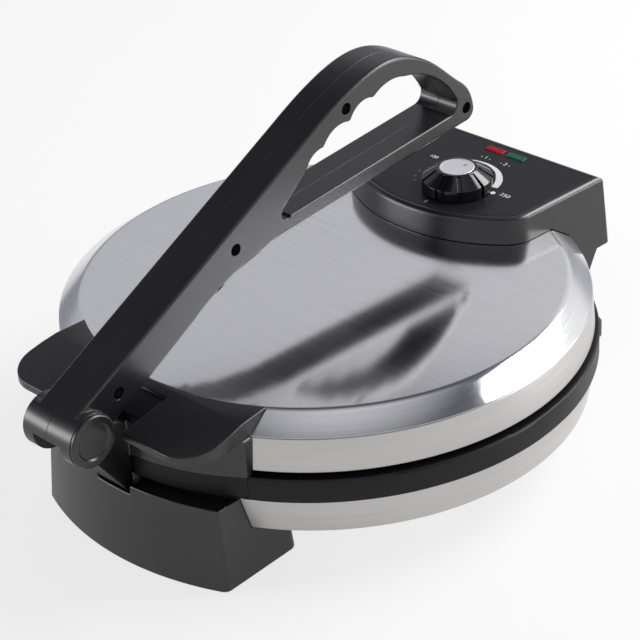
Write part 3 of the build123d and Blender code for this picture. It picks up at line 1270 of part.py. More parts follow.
with BuildPart() as knob:
    with BuildSketch(KNOB_SIDE):
        with BuildLine():
            Polyline(
                (0, 0),
                *KNOB_OUTLINE,
                (KNOB_TOP_R - KNOB_EDGE, KNOB_H),
                (DISC_R + DISC_GAP, KNOB_H),
                (DISC_R + DISC_GAP, KNOB_H - DISC_T),
                (0, KNOB_H - DISC_T),
                close=True,
            )
        make_face()
    revolve(axis=KNOB_AXIS)
    add(knob_grooves.part, mode=Mode.SUBTRACT)
    with BuildSketch(KNOB_PLANE):
        Circle(KNOB_R - KNOB_GROOVE_DEPTH - KNOB_WALL)
        Circle(SHAFT_R + HUB_WALL, mode=Mode.SUBTRACT)
    extrude(amount=KNOB_SKIRT_H - KNOB_GROOVE_DEPTH, mode=Mode.SUBTRACT)
    # the nut and bush turn inside the hub's foot
    with BuildSketch(KNOB_PLANE):
        Circle(NUT_R + NUT_GAP)
    extrude(amount=HUB_RECESS, mode=Mode.SUBTRACT)
    with BuildSketch(KNOB_PLANE):
        Circle(SHAFT_R)
        with Locations((2 * SHAFT_R - SHAFT_FLAT, 0)):
            Rectangle(2 * SHAFT_R, 4 * SHAFT_R, mode=Mode.SUBTRACT)
    extrude(amount=SHAFT_TOP_Z - KNOB_BOTTOM_Z, mode=Mode.SUBTRACT)
save(knob.part, "knob")

# Metal disc on top of the knob.
with BuildPart() as knob_disc:
    with BuildSketch(KNOB_PLANE.offset(KNOB_H - DISC_T)):
        Circle(DISC_R)
    extrude(amount=DISC_T)
save(knob_disc.part, "knob_disc")

# ---------------------------------------------------------------- hinge hardware
# Steel pin through the tower's knuckles and the box's ears.
PIN_HALF_L = EAR_OUTER_X + CLIP_GAP + PIN_STUB
with BuildPart() as hinge_pin:
    with BuildSketch(SIDE.offset(-PIN_HALF_L)):
        with Locations((HINGE_Y, HINGE_Z)):
            Circle(HINGE_PIN_R)
    extrude(amount=2 * PIN_HALF_L)
save(hinge_pin.part, "hinge_pin")

# Spring clips on the pin's two ends.
with BuildPart() as hinge_clips:
    for clip_x in (-EAR_OUTER_X - CLIP_GAP - CLIP_T, EAR_OUTER_X + CLIP_GAP):
        with BuildSketch(SIDE.offset(clip_x)):
            with Locations((HINGE_Y, HINGE_Z)):
                Circle(CLIP_R)
                Circle(HINGE_PIN_R, mode=Mode.SUBTRACT)
        extrude(amount=CLIP_T)
save(hinge_clips.part, "hinge_clips")

# Nylon bushes pressed in the ears.
with BuildPart() as hinge_bushes:
    for ear_x in (-EAR_OUTER_X, EAR_INNER_X):
        with BuildSketch(SIDE.offset(ear_x)):
            with Locations((HINGE_Y, HINGE_Z)):
                Circle(BUSH_R)
                Circle(HINGE_PIN_R + RUNNING_CLEAR, mode=Mode.SUBTRACT)
        extrude(amount=EAR_T)
save(hinge_bushes.part, "hinge_bushes")

# ---------------------------------------------------------------- screws of the lid
# Screws from inside the lid, up through its cover into the control box.
with BuildPart() as box_screws:
    with BuildSketch(GROUND.offset(LID_INSIDE_Z)):
        with Locations(*BOX_SCREW_PLACES):
            Circle(SCREW_HEAD_R)
    extrude(amount=-SCREW_HEAD_H)
    with BuildSketch(GROUND.offset(LID_INSIDE_Z)):
        with Locations(*BOX_SCREW_PLACES):
            Circle(SCREW_SHANK_R - SCREW_THREAD_GAP)
    extrude(amount=BOX_SCREW_L)
save(box_screws.part, "box_screws")

# Screws from inside the lid, outwards through its side band into the front bracket.
with BuildPart() as bracket_screws:
    for plane in BRACKET_SCREW_PLANES:
        with BuildSketch(plane):
            Circle(SCREW_HEAD_R)
        extrude(amount=-SCREW_HEAD_H)
        with BuildSketch(plane):
            Circle(SCREW_SHANK_R - SCREW_THREAD_GAP)
        extrude(amount=BRACKET_SCREW_L)
save(bracket_screws.part, "bracket_screws")
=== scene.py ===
"""Electric roti maker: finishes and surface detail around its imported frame."""

from math import atan2, cos, hypot, pi, radians, sin

import bmesh
import bpy
from mathutils import Matrix, Vector


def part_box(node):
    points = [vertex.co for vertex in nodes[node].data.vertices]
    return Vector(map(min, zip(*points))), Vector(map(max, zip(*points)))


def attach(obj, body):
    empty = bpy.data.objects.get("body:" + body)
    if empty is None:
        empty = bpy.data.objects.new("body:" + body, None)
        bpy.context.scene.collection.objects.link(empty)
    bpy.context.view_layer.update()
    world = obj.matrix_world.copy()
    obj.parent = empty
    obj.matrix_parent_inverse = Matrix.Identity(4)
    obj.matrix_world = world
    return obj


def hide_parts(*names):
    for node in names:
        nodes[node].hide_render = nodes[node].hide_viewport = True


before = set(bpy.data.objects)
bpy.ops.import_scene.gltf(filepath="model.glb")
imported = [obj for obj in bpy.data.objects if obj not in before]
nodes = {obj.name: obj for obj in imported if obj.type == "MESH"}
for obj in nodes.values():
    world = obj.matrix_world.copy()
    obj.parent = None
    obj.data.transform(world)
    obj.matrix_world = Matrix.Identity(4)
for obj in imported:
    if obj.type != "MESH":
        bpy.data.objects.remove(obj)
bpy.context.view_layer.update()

# ---------------------------------------------------------------- camera
# It looks down on the front right of the object, from a little over a metre away,
# through a long lens.
BODY_Y = (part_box("lid_cover")[0].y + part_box("lid_cover")[1].y) / 2
CAMERA_AIM = Vector((0, BODY_Y, 0.087))
CAMERA_AZIMUTH = radians(44.75)
CAMERA_ELEVATION = radians(30.29)
CAMERA_ROLL = radians(-3.48)
CAMERA_DISTANCE = 1.2239
CAMERA_LENS = 122.1
CAMERA_SHIFT = (-0.0077, -0.0485)

stage = bpy.context.scene.collection
camera = bpy.data.objects.new("camera", bpy.data.cameras.new("camera"))
stage.objects.link(camera)
bpy.context.scene.camera = camera
away = Vector((
    sin(CAMERA_AZIMUTH) * cos(CAMERA_ELEVATION),
    -cos(CAMERA_AZIMUTH) * cos(CAMERA_ELEVATION),
    sin(CAMERA_ELEVATION),
))
across = Vector((0, 0, 1)).cross(away).normalized()
camera.matrix_world = (
    Matrix.Translation(CAMERA_AIM + away * CAMERA_DISTANCE)
    @ Matrix((across, away.cross(across), away)).transposed().to_4x4()
    @ Matrix.Rotation(CAMERA_ROLL, 4, "Z")
)
camera.data.lens = CAMERA_LENS
camera.data.shift_x, camera.data.shift_y = CAMERA_SHIFT
camera.data.clip_end = 20


# ---------------------------------------------------------------- base band
# The base is wrapped in a band of satin steel sheet that draws in towards the table.
# It is rolled from strip, so its grain runs round it, and its edges are turned inwards.
def blank(name, colour, roughness, **constants):
    """New material, its node tree and its shader, with the constant values on the shader."""
    material = bpy.data.materials.new(name)
    material.use_nodes = True
    shader = material.node_tree.nodes["Principled BSDF"]
    shader.inputs["Base Color"].default_value = (*colour, 1)
    shader.inputs["Roughness"].default_value = roughness
    for socket, value in constants.items():
        shader.inputs[socket.replace("_", " ")].default_value = value
    return material, material.node_tree, shader


def add_node(tree, kind, links=(), values=(), **settings):
    """New node with its settings, its inputs' values and its inputs' links."""
    node = tree.nodes.new("ShaderNode" + kind)
    for setting, value in settings.items():
        setattr(node, setting, value)
    for socket, value in dict(values).items():
        node.inputs[socket].default_value = value
    for socket, source in dict(links).items():
        tree.links.new(source, node.inputs[socket])
    return node


def spread(tree, amount, low, high):
    """An amount from 0 to 1, spread over the range from low to high."""
    node = add_node(tree, "MapRange", {"Value": amount}, {"To Min": low, "To Max": high})
    return node.outputs["Result"]


def blend(tree, amount, first, second):
    """A colour between two, by an amount from 0 to 1."""
    node = add_node(tree, "Mix", {0: amount}, data_type="RGBA")
    node.inputs[6].default_value = (*first, 1)
    node.inputs[7].default_value = (*second, 1)
    return node.outputs[2]


def tint(tree, amount, colour, darkest, lightest=1.0):
    """A shade of one colour between two factors, by an amount from 0 to 1."""
    dark = [part * darkest for part in colour]
    light = [part * lightest for part in colour]
    return blend(tree, amount, dark, light)


def link_surface(tree, shader, colour, rough, height, strength, depth):
    """Link a colour, a roughness and a relief to a shader."""
    tree.links.new(colour, shader.inputs["Base Color"])
    tree.links.new(rough, shader.inputs["Roughness"])
    bump = add_node(tree, "Bump", {"Height": height}, {"Strength": strength, "Distance": depth})
    tree.links.new(bump.outputs[0], shader.inputs["Normal"])


# cells of noise per metre, along the grain and across it
FINE_GRAIN = (45, 2600)
COARSE_GRAIN = (14, 520)
SCRATCHES = (9, 700)
SCRATCH_FROM, SCRATCH_FULL = 0.74, 0.80    # of the noise, so that only its peaks scratch


def grain_noise(tree, cells, detail):
    """Noise drawn out along the U of the grain map."""
    grain_map = add_node(tree, "UVMap", uv_map="grain").outputs["UV"]
    drawn = add_node(tree, "Mapping", {"Vector": grain_map}, {"Scale": (*cells, 1)}).outputs[0]
    return add_node(tree, "TexNoise", {"Vector": drawn}, {"Scale": 1.0, "Detail": detail}).outputs[0]


def brushed_steel(name, colour, roughness, directional, scratched=0.0):
    """Steel with a fine grain; its gloss spreads across the grain, and scratches dull it."""
    material, tree, shader = blank(
        name, colour, roughness, Metallic=1.0, Anisotropic=directional, Anisotropic_Rotation=0.25
    )
    fine = grain_noise(tree, FINE_GRAIN, 3.0)
    coarse = grain_noise(tree, COARSE_GRAIN, 4.0)
    both = add_node(tree, "Math", {0: fine, 1: coarse}, operation="MULTIPLY").outputs[0]
    rough = spread(tree, both, roughness - 0.04, roughness + 0.10)
    if scratched:
        peaks = {"From Min": SCRATCH_FROM, "From Max": SCRATCH_FULL, "To Max": scratched}
        dull = add_node(tree, "MapRange", {"Value": grain_noise(tree, SCRATCHES, 0.0)}, peaks).outputs[0]
        rough = add_node(tree, "Math", {0: rough, 1: dull}, operation="ADD").outputs[0]
    link_surface(tree, shader, tint(tree, coarse, colour, 0.86, 1.08), rough, fine, 0.25, 0.00002)
    tangent = add_node(tree, "Tangent", direction_type="UV_MAP", uv_map="grain")
    tree.links.new(tangent.outputs[0], shader.inputs["Tangent"])
    return material


def keep(bm, name, body, slot, material, *replaced, sharp=35):
    """Write a finished mesh to its piece, which rides on a body and may stand for CAD nodes."""
    mesh = bpy.data.meshes.new(name)
    bm.to_mesh(mesh)
    bm.free()
    mesh.materials.append(material)
    mesh.shade_smooth()
    mesh.set_sharp_from_angle(angle=radians(sharp))
    piece = bpy.data.objects.new(name, mesh)
    stage.objects.link(piece)
    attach(piece, body)
    if replaced:
        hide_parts(*replaced)
    return piece


SAME_PLACE = 1e-6         # corners nearer than this are one


def spun(section, steps=192):
    """Turn a closed section of (radius, height, rounding) corners once round the Z axis."""
    bm = bmesh.new()
    corners = [bm.verts.new((radius, 0, height)) for radius, height, rounding in section]
    for pair in zip(corners, corners[1:] + corners[:1]):
        bm.edges.new(pair)
    for corner, (radius, height, rounding) in zip(corners, section):
        if rounding:
            bmesh.ops.bevel(
                bm, geom=[corner], offset=rounding, affect="VERTICES",
                segments=4, profile=0.5, material=-1,
            )
    bmesh.ops.spin(
        bm, geom=bm.verts[:] + bm.edges[:], cent=(0, 0, 0), axis=(0, 0, 1),
        angle=2 * pi, steps=steps, use_merge=True,
    )
    bmesh.ops.remove_doubles(bm, verts=bm.verts, dist=SAME_PLACE)
    bmesh.ops.dissolve_degenerate(bm, edges=bm.edges, dist=1e-7)
    bmesh.ops.recalc_face_normals(bm, faces=bm.faces)
    return bm


def lay_grain(bm, flat_above=None):
    """Grain map of a turned sheet: round the axis, but straight across a flat top."""
    layer = bm.loops.layers.uv.new("grain")
    for face in bm.faces:
        middle = face.calc_center_median()
        straight = flat_above is not None and middle.z > flat_above and face.normal.z > 0.99
        face_angle = atan2(middle.x, -middle.y)
        for loop in face.loops:
            x, y, z = loop.vert.co
            turn = atan2(x, -y)
            if abs(turn - face_angle) > pi:
                turn += 2 * pi if face_angle > turn else -2 * pi
            loop[layer].uv = (x, y) if straight else (turn * hypot(middle.x, middle.y), z - hypot(x, y))


def on_body(bm):
    """Move a mesh made round the origin to the axis of the round body."""
    bmesh.ops.translate(bm, verts=bm.verts, vec=(0, BODY_Y, 0))
    return bm


SHEET_T = 0.001
SHEET_TURN = 0.0007       # rounding where the sheet turns
BAND_FLANGE = 0.012       # width of the edges turned inwards
BAND_TAPER = 0.0035       # by which the band draws in at its foot
low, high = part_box("base_band")
band_top_r = high.x
band_low_r = band_top_r - BAND_TAPER
# The band's steel has its own warm tint. It is also darker than the lid top's steel, and that darkness is
# painted shade for the shadowed floor that it mirrors near the object.
SHADED_WARM_STEEL = (0.56, 0.545, 0.53)
side_steel = brushed_steel("satin_side_steel_painted_shade", SHADED_WARM_STEEL, 0.34, 0.7)
band = spun([
    (band_low_r - BAND_FLANGE, low.z, 0),
    (band_low_r, low.z, SHEET_TURN),
    (band_top_r, high.z, SHEET_TURN),
    (band_top_r - BAND_FLANGE, high.z, 0),
    (band_top_r - BAND_FLANGE, high.z - SHEET_T, 0),
    (band_top_r - SHEET_T, high.z - SHEET_T, 0),
    (band_low_r - SHEET_T, low.z + SHEET_T, 0),
    (band_low_r - BAND_FLANGE, low.z + SHEET_T, 0),
])
lay_grain(band)
keep(on_body(band), "base_band_skin", "base", "base_steel", side_steel, "base_band")


# ---------------------------------------------------------------- bottom cover and its screws
# A zinc-plated disc with rows of vents closes the base from below.  Four plated screws go
# through it into the feet, and the same sheet makes the heat shields and the plates' posts.
def finish_nodes(material, *names):
    """Give CAD nodes, which keep their shape, their finish."""
    for name in names:
        nodes[name].material_slots[0].material = material


def on_object(tree, stretch=(1, 1, 1)):
    """Place on the object, stretched along its axes."""
    place = add_node(tree, "TexCoord").outputs["Object"]
    return add_node(tree, "Mapping", {"Vector": place}, {"Scale": stretch}).outputs[0]


def noise(tree, place, scale, detail=3.0):
    """Soft noise from 0 to 1."""
    return add_node(tree, "TexNoise", {"Vector": place}, {"Scale": scale, "Detail": detail}).outputs[0]


def plated(name, colour, roughness, crystals):
    """Zinc-plated steel with the faint crystals of its plating, so many to the metre."""
    material, tree, shader = blank(name, colour, roughness, Metallic=1.0)
    place = on_object(tree)
    grains = add_node(tree, "TexVoronoi", {"Vector": place}, {"Scale": crystals})
    grain = add_node(tree, "RGBToBW", {0: grains.outputs["Color"]}).outputs[0]
    fine = noise(tree, place, crystals * 8)
    rough = spread(tree, fine, roughness - 0.08, roughness + 0.12)
    link_surface(tree, shader, tint(tree, grain, colour, 0.82, 1.12), rough, fine, 0.25, 0.00003)
    return material


zinc_sheet = plated("zinc_sheet", (0.60, 0.60, 0.58), 0.36, 260)
zinc_screw = plated("zinc_screw", (0.50, 0.50, 0.50), 0.34, 1200)
finish_nodes(zinc_sheet, "bottom_cover")
finish_nodes(zinc_screw, "foot_screws")

# ---------------------------------------------------------------- base ring and feet
# The ring round the lower plate and the two feet are injection moulded in black plastic,
# satin outside, with their edges just eased by the tool.
GLOSS_CLOUDS = 26.0       # patches of uneven gloss per metre


def moulded(name, colour, roughness, grain, relief, **constants):
    """Moulded plastic with slightly uneven gloss and a fine skin, of some grains per metre."""
    material, tree, shader = blank(name, colour, roughness, **constants)
    place = on_object(tree)
    cloud = noise(tree, place, GLOSS_CLOUDS)
    rough = spread(tree, cloud, roughness - 0.05, roughness + 0.05)
    skin = noise(tree, place, grain, 2.0)
    link_surface(tree, shader, tint(tree, cloud, colour, 0.85, 1.15), rough, skin, relief, 0.00005)
    return material


def eased(name, edge, sharp):
    """Mesh of a CAD node with its edges rounded where they turn by more than a sharp angle."""
    bm = bmesh.new()
    bm.from_mesh(nodes[name].data)
    bmesh.ops.remove_doubles(bm, verts=bm.verts, dist=SAME_PLACE)
    bmesh.ops.dissolve_limit(bm, angle_limit=radians(0.2), verts=bm.verts, edges=bm.edges)
    corners = [e for e in bm.edges if e.is_manifold and e.calc_face_angle() > radians(sharp)]
    bmesh.ops.bevel(
        bm, geom=corners, offset=edge, affect="EDGES", segments=2,
        profile=0.5, material=-1, clamp_overlap=False,
    )
    return bm


def moulding(node, edge, body, slot, finish, sharp=45, name=None):
    """Piece that stands for one CAD node, eased; its large faces rule the shading and stay flat."""
    piece = keep(eased(node, edge, sharp), name or node + "_moulding", body, slot, finish, node)
    piece.modifiers.new("weighted", "WEIGHTED_NORMAL").keep_sharp = True


BLACK = (0.0060, 0.0058, 0.0072)
RING_EDGE = 0.0005        # rounding of the edges
FOOT_EDGE = 0.0008
ring_plastic = moulded("ring_plastic", BLACK, 0.42, 2600, 0.20, Specular_IOR_Level=0.25)
shell_plastic = moulded("shell_plastic", BLACK, 0.30, 2600, 0.14, Specular_IOR_Level=0.70)
moulding("base_ring", RING_EDGE, "base", "ring_plastic", ring_plastic)
moulding("front_foot", FOOT_EDGE, "base", "shell_plastic", shell_plastic)
moulding("rear_foot", FOOT_EDGE, "base", "shell_plastic", shell_plastic)

# ---------------------------------------------------------------- pads and cord gland
# Soft black rubber: a pad pressed into each corner of the feet, and the gland in the rear
# foot's tower that the mains cord would go in by.
RUBBER = (0.018, 0.018, 0.018)
rubber = moulded("black_rubber", RUBBER, 0.78, 1800, 0.5, Specular_IOR_Level=0.3)
finish_nodes(rubber, "foot_pads", "cord_gland")

# ---------------------------------------------------------------- heated plates and shields
# Two cast aluminium plates under a dark non-stick coat with small light flecks.  A tubular
# element of oxidised steel lies on the back of each, with a plated shield and posts behind.
COAT = (0.030, 0.029, 0.029)
FLECK = (0.22, 0.21, 0.20)
FLECK_FROM, FLECK_FULL = 0.66, 0.72        # of the noise, so that only its peaks are flecks
plate_coat, tree, shader = blank("non_stick_coat", COAT, 0.44)
place = on_object(tree)
speckle = {"Value": noise(tree, place, 1100.0, 2.0)}
fleck = add_node(tree, "MapRange", speckle, {"From Min": FLECK_FROM, "From Max": FLECK_FULL})
tone = blend(tree, fleck.outputs[0], COAT, FLECK)
orange_peel = noise(tree, place, 700.0)
link_surface(tree, shader, tone, spread(tree, orange_peel, 0.36, 0.54), orange_peel, 0.35, 0.00005)
finish_nodes(plate_coat, "lower_plate", "upper_plate")

SCALE_DARK = (0.11, 0.09, 0.075)
SCALE_LIGHT = (0.30, 0.27, 0.25)
element_scale, tree, shader = blank("oxidised_tube", SCALE_LIGHT, 0.5, Metallic=1.0)
place = on_object(tree)
patches = noise(tree, place, 60.0, 4.0)
tone = blend(tree, patches, SCALE_DARK, SCALE_LIGHT)
link_surface(tree, shader, tone, spread(tree, patches, 0.62, 0.38), noise(tree, place, 900.0), 0.4, 0.00004)
finish_nodes(element_scale, "lower_element", "upper_element")
finish_nodes(zinc_sheet, "lower_heat_shield", "upper_heat_shield", "lower_plate_posts", "upper_plate_posts")

# ---------------------------------------------------------------- terminal block, thermostat, fuse
# The block and the thermostat's body are unglazed steatite ceramic, cream and slightly
# stained.  The thermal fuse has a bright drawn case.
CREAM = (0.74, 0.71, 0.64)
ceramic, tree, shader = blank("steatite", CREAM, 0.72)
place = on_object(tree)
stain = noise(tree, place, 120.0, 5.0)
tone = tint(tree, stain, CREAM, 0.80, 1.08)
link_surface(tree, shader, tone, spread(tree, stain, 0.62, 0.82), noise(tree, place, 2400.0), 0.5, 0.00005)
finish_nodes(ceramic, "terminal_block", "thermostat")

BRIGHT = (0.72, 0.72, 0.73)
drawn_case, tree, shader = blank("drawn_case", BRIGHT, 0.28, Metallic=1.0)
drawing = noise(tree, on_object(tree, (30, 2500, 2500)), 1.0)
tone = tint(tree, drawing, BRIGHT, 0.86)
link_surface(tree, shader, tone, spread(tree, drawing, 0.22, 0.38), drawing, 0.2, 0.00002)
finish_nodes(drawn_case, "thermal_fuse")

# ---------------------------------------------------------------- lid shell
# The lid is pressed from satin steel in two pieces that meet at a thin seam: a flat top
# with a bevelled shoulder, grained straight across, and a side band grained round it.
STEEL = (0.80, 0.80, 0.82)
top_steel = brushed_steel("satin_top_steel", STEEL, 0.13, 0.70, scratched=0.09)
low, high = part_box("lid_cover")
SEAM_R = high.x
SEAM_Z = 0.087
SEAM_GROOVE = 0.0004
SHOULDER = 0.013          # run of the bevelled shoulder
SHOULDER_TURN = 0.0022    # rounding between it and the flat
flat_r = SEAM_R - SHOULDER
cover = spun([
    (0, high.z, 0),
    (flat_r, high.z, SHOULDER_TURN),
    (SEAM_R, SEAM_Z + SEAM_GROOVE, SEAM_GROOVE),
    (SEAM_R - SHEET_T, SEAM_Z + SEAM_GROOVE, 0),
    (SEAM_R - 1.1 * SHEET_T, low.z, 0),
    (SEAM_R - 2.1 * SHEET_T, low.z, 0),
    (SEAM_R - 2.1 * SHEET_T, SEAM_Z, 0),
    (flat_r - SHEET_T / 2, high.z - SHEET_T, SHEET_T),
    (0, high.z - SHEET_T, 0),
])
lay_grain(cover, flat_above=high.z - SHEET_T / 2)
keep(on_body(cover), "lid_cover_skin", "lid", "top_steel", top_steel, "lid_cover", sharp=60)

low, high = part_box("lid_side_band")
side_low_r = high.x
LID_FLANGE = 0.005        # width of the edge turned inwards
side = spun([
    (SEAM_R, high.z - SEAM_GROOVE / 2, SEAM_GROOVE),
    (side_low_r, low.z, SHEET_TURN),
    (side_low_r - LID_FLANGE, low.z, 0),
    (side_low_r - LID_FLANGE, low.z + SHEET_T, 0),
    (side_low_r - SHEET_T, low.z + SHEET_T, 0),
    (SEAM_R - SHEET_T, high.z - SEAM_GROOVE / 2, 0),
])
lay_grain(side)
# The side band takes the same warm steel, darkened with painted shade.
keep(on_body(side), "lid_side_skin", "lid", "side_steel", side_steel, "lid_side_band")

# ---------------------------------------------------------------- lid rim and front bracket
# The dark rim is set back under the lid's steel side.  The bracket is one black moulding:
# a skirt round the lid's front, two finger shelves, and the web and eye that carry the arm.
RIM_EDGE = 0.0004
BRACKET_EDGE = 0.0006
moulding("lid_rim", RIM_EDGE, "lid", "ring_plastic", ring_plastic)
moulding("lid_bracket", BRACKET_EDGE, "lid", "shell_plastic", shell_plastic)

# ---------------------------------------------------------------- folding arm
# Two black half shells meet in the middle of the arm, with a fine groove where they join.
# The finger hollows and the rims come round and soft from the mould.
HALF_EDGE = 0.00025
HALF_SHARP = 50           # degrees, so that the round rims are left as they are
for hand in ("left", "right"):
    name = f"arm_{hand}_moulding"
    moulding(f"arm_{hand}_half", HALF_EDGE, "arm", "shell_plastic", shell_plastic, HALF_SHARP, name)

# ---------------------------------------------------------------- arm screws
# Four plated pan-head screws with a cross recess, sunk in the right half of the arm.  Each
# cuts its thread in the left half.
def solids_of(name):
    """Lowest and highest corners of each separate solid of a CAD node, from front to back."""
    bm = bmesh.new()
    bm.from_mesh(nodes[name].data)
    bmesh.ops.remove_doubles(bm, verts=bm.verts, dist=SAME_PLACE)
    left = set(bm.verts)
    found = []
    while left:
        group = [left.pop()]
        for vert in group:
            for edge in vert.link_edges:
                other = edge.other_vert(vert)
                if other in left:
                    left.remove(other)
                    group.append(other)
        found.append((
            Vector([min(vert.co[axis] for vert in group) for axis in range(3)]),
            Vector([max(vert.co[axis] for vert in group) for axis in range(3)]),
        ))
    bm.free()
    return sorted(found, key=lambda corners: corners[0].y)


def ring_edges(bm, verts):
    """Edges between the given vertices, in the order of the mesh."""
    ring = set(verts)
    return [edge for edge in bm.edges if ring.issuperset(edge.verts)]


def verts_of(made):
    """The vertices among the parts that an operator made."""
    return [part for part in made["geom"] if isinstance(part, bmesh.types.BMVert)]


# against the radius of the head: its flat, and the reach and half width of the cross
HEAD_FLAT, CROSS_REACH, CROSS_HALF_W = 0.78, 0.58, 0.15
# against the height of the head: its round crown, and the depth of the cross
HEAD_CROWN, CROSS_DEPTH = 0.30, 0.6
CROSS_TAPER = 0.6         # size of the recess at its floor, against its mouth


def cross_screw(place, head_r, head_h, shank_r, shank_l):
    """Pan-head screw along X with a cross recess, the top of its head at a place."""
    crown = HEAD_CROWN * head_h
    wing, half_slot = CROSS_REACH * head_r, CROSS_HALF_W * head_r
    bm = bmesh.new()
    rim = bmesh.ops.create_circle(bm, segments=24, radius=HEAD_FLAT * head_r)["verts"]
    corners = [
        (wing, half_slot), (half_slot, half_slot), (half_slot, wing), (-half_slot, wing),
        (-half_slot, half_slot), (-wing, half_slot), (-wing, -half_slot), (-half_slot, -half_slot),
        (-half_slot, -wing), (half_slot, -wing), (half_slot, -half_slot), (wing, -half_slot),
    ]
    cross = [bm.verts.new((x, y, 0)) for x, y in corners]
    for pair in zip(cross, cross[1:] + cross[:1]):
        bm.edges.new(pair)
    rim_edges, cross_edges = ring_edges(bm, rim), ring_edges(bm, cross)
    bmesh.ops.bridge_loops(bm, edges=rim_edges + cross_edges)
    recess = verts_of(bmesh.ops.extrude_edge_only(bm, edges=cross_edges))
    bmesh.ops.scale(bm, vec=(CROSS_TAPER, CROSS_TAPER, 1), verts=recess)
    bmesh.ops.translate(bm, vec=(0, 0, -CROSS_DEPTH * head_h), verts=recess)
    bmesh.ops.edgeloop_fill(bm, edges=ring_edges(bm, recess))
    edges = rim_edges
    for widen, drop in ((1 / HEAD_FLAT, crown), (1, head_h - crown), (shank_r / head_r, 0), (1, shank_l)):
        made = bmesh.ops.extrude_edge_only(bm, edges=edges)
        edges = [part for part in made["geom"] if isinstance(part, bmesh.types.BMEdge)]
        verts = verts_of(made)
        bmesh.ops.scale(bm, vec=(widen, widen, 1), verts=verts)
        bmesh.ops.translate(bm, vec=(0, 0, -drop), verts=verts)
    bmesh.ops.edgeloop_fill(bm, edges=edges)
    bmesh.ops.recalc_face_normals(bm, faces=bm.faces)
    along_x = Matrix.Translation(place) @ Matrix.Rotation(pi / 2, 4, "Y")
    bmesh.ops.transform(bm, matrix=along_x, verts=bm.verts)
    return bm


SCREW_HEAD_H = 0.0018
SCREW_SHANK_R = 0.00145
for index, (low, high) in enumerate(solids_of("arm_screws")):
    middle = (low + high) / 2
    place = Vector((high.x, middle.y, middle.z))
    shank_l = high.x - low.x - SCREW_HEAD_H
    screw = cross_screw(place, (high.y - low.y) / 2, SCREW_HEAD_H, SCREW_SHANK_R, shank_l)
    keep(screw, f"arm_screw_{index + 1}", "arm", "screw_steel", zinc_screw, "arm_screws", sharp=30)

# ---------------------------------------------------------------- barrel caps and arm pin
# Black caps close the barrel's ends, the right one dished.  The pin inside is ground steel,
# pressed in the bracket's eye.
LEFT_CAP_EDGE = 0.0004
RIGHT_CAP_EDGE = 0.0003
moulding("barrel_cap_left", LEFT_CAP_EDGE, "arm", "shell_plastic", shell_plastic)
moulding("barrel_cap_right", RIGHT_CAP_EDGE, "arm", "shell_plastic", shell_plastic)

GROUND = (0.66, 0.66, 0.67)
ground_pin, tree, shader = blank("ground_pin", GROUND, 0.22, Metallic=1.0)
grinding = noise(tree, on_object(tree, (3200, 60, 60)), 1.0)
tone = tint(tree, grinding, GROUND, 0.88)
link_surface(tree, shader, tone, spread(tree, grinding, 0.16, 0.30), grinding, 0.2, 0.00002)
finish_nodes(ground_pin, "arm_pin")

# ---------------------------------------------------------------- control box and its panel
# The D-shaped box over the hinge is a black moulding with a rounded rim.  A satin printed
# film lies in its top, dark with a trace of violet.
BOX_EDGE = 0.0005
PANEL_EDGE = 0.0002
FILM = (0.0095, 0.0085, 0.0130)
panel_film = moulded("panel_film", FILM, 0.40, 3400, 0.22, Specular_IOR_Level=0.22)
moulding("control_box", BOX_EDGE, "lid", "shell_plastic", shell_plastic)
moulding("control_panel", PANEL_EDGE, "lid", "panel_film", panel_film, name="control_panel_film")

# ---------------------------------------------------------------- marks on the panel
# Printed in white: a crescent that widens as the heat rises, a dot, and plain numbers round
# the knob and under the lamps.  The ink lies on the film a few hundredths of a millimetre thick.
INK_T = 0.00004
panel_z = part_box("control_panel")[1].z
low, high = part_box("knob")
knob_x, knob_y = (low.x + high.x) / 2, (low.y + high.y) / 2
white_ink = moulded("white_ink", (0.80, 0.80, 0.80), 0.5, 3000, 0.1)
faded_ink = moulded("faded_ink", (0.16, 0.16, 0.18), 0.5, 3000, 0.1)
CRESCENT_PLACE = (-0.0055, 0.0081)   # its centre, from the knob's axis
CRESCENT_R = 0.0256
CRESCENT_START, CRESCENT_END = radians(10), radians(114)
CRESCENT_W = 0.0041
CRESCENT_FULL = 0.3       # part of its length at full width
CRESCENT_TAPER = 0.88     # by which it is narrower at its tip
CRESCENT_STEPS = 36


def inked(bm, name, body, slot, material):
    """Give flat faces the thickness of the ink, and keep them as a mark on a body."""
    raised = verts_of(bmesh.ops.extrude_face_region(bm, geom=bm.faces[:]))
    bmesh.ops.translate(bm, vec=(0, 0, INK_T), verts=raised)
    bmesh.ops.recalc_face_normals(bm, faces=bm.faces)
    keep(bm, name, body, slot, material)


def crescent_ends(along):
    """Outer and inner point of the crescent at a share of its length."""
    turn = CRESCENT_START + (CRESCENT_END - CRESCENT_START) * along
    narrowing = max(along - CRESCENT_FULL, 0) / (1 - CRESCENT_FULL)
    width = CRESCENT_W * (1 - CRESCENT_TAPER * narrowing)
    centre = Vector((knob_x + CRESCENT_PLACE[0], knob_y + CRESCENT_PLACE[1], panel_z))
    outwards = Vector((cos(turn), sin(turn), 0))
    return centre + outwards * CRESCENT_R, centre + outwards * (CRESCENT_R - width)


crescent = bmesh.new()
edge = crescent.edges.new([crescent.verts.new(point) for point in crescent_ends(0)])
for step in range(CRESCENT_STEPS):
    made = bmesh.ops.extrude_edge_only(crescent, edges=[edge])["geom"]
    edge = next(part for part in made if isinstance(part, bmesh.types.BMEdge))
    outer, inner = crescent_ends((step + 1) / CRESCENT_STEPS)
    first, second = edge.verts
    if (first.co - outer).length > (second.co - outer).length:
        first, second = second, first
    first.co, second.co = outer, inner
inked(crescent, "heat_crescent", "lid", "panel_film", white_ink)

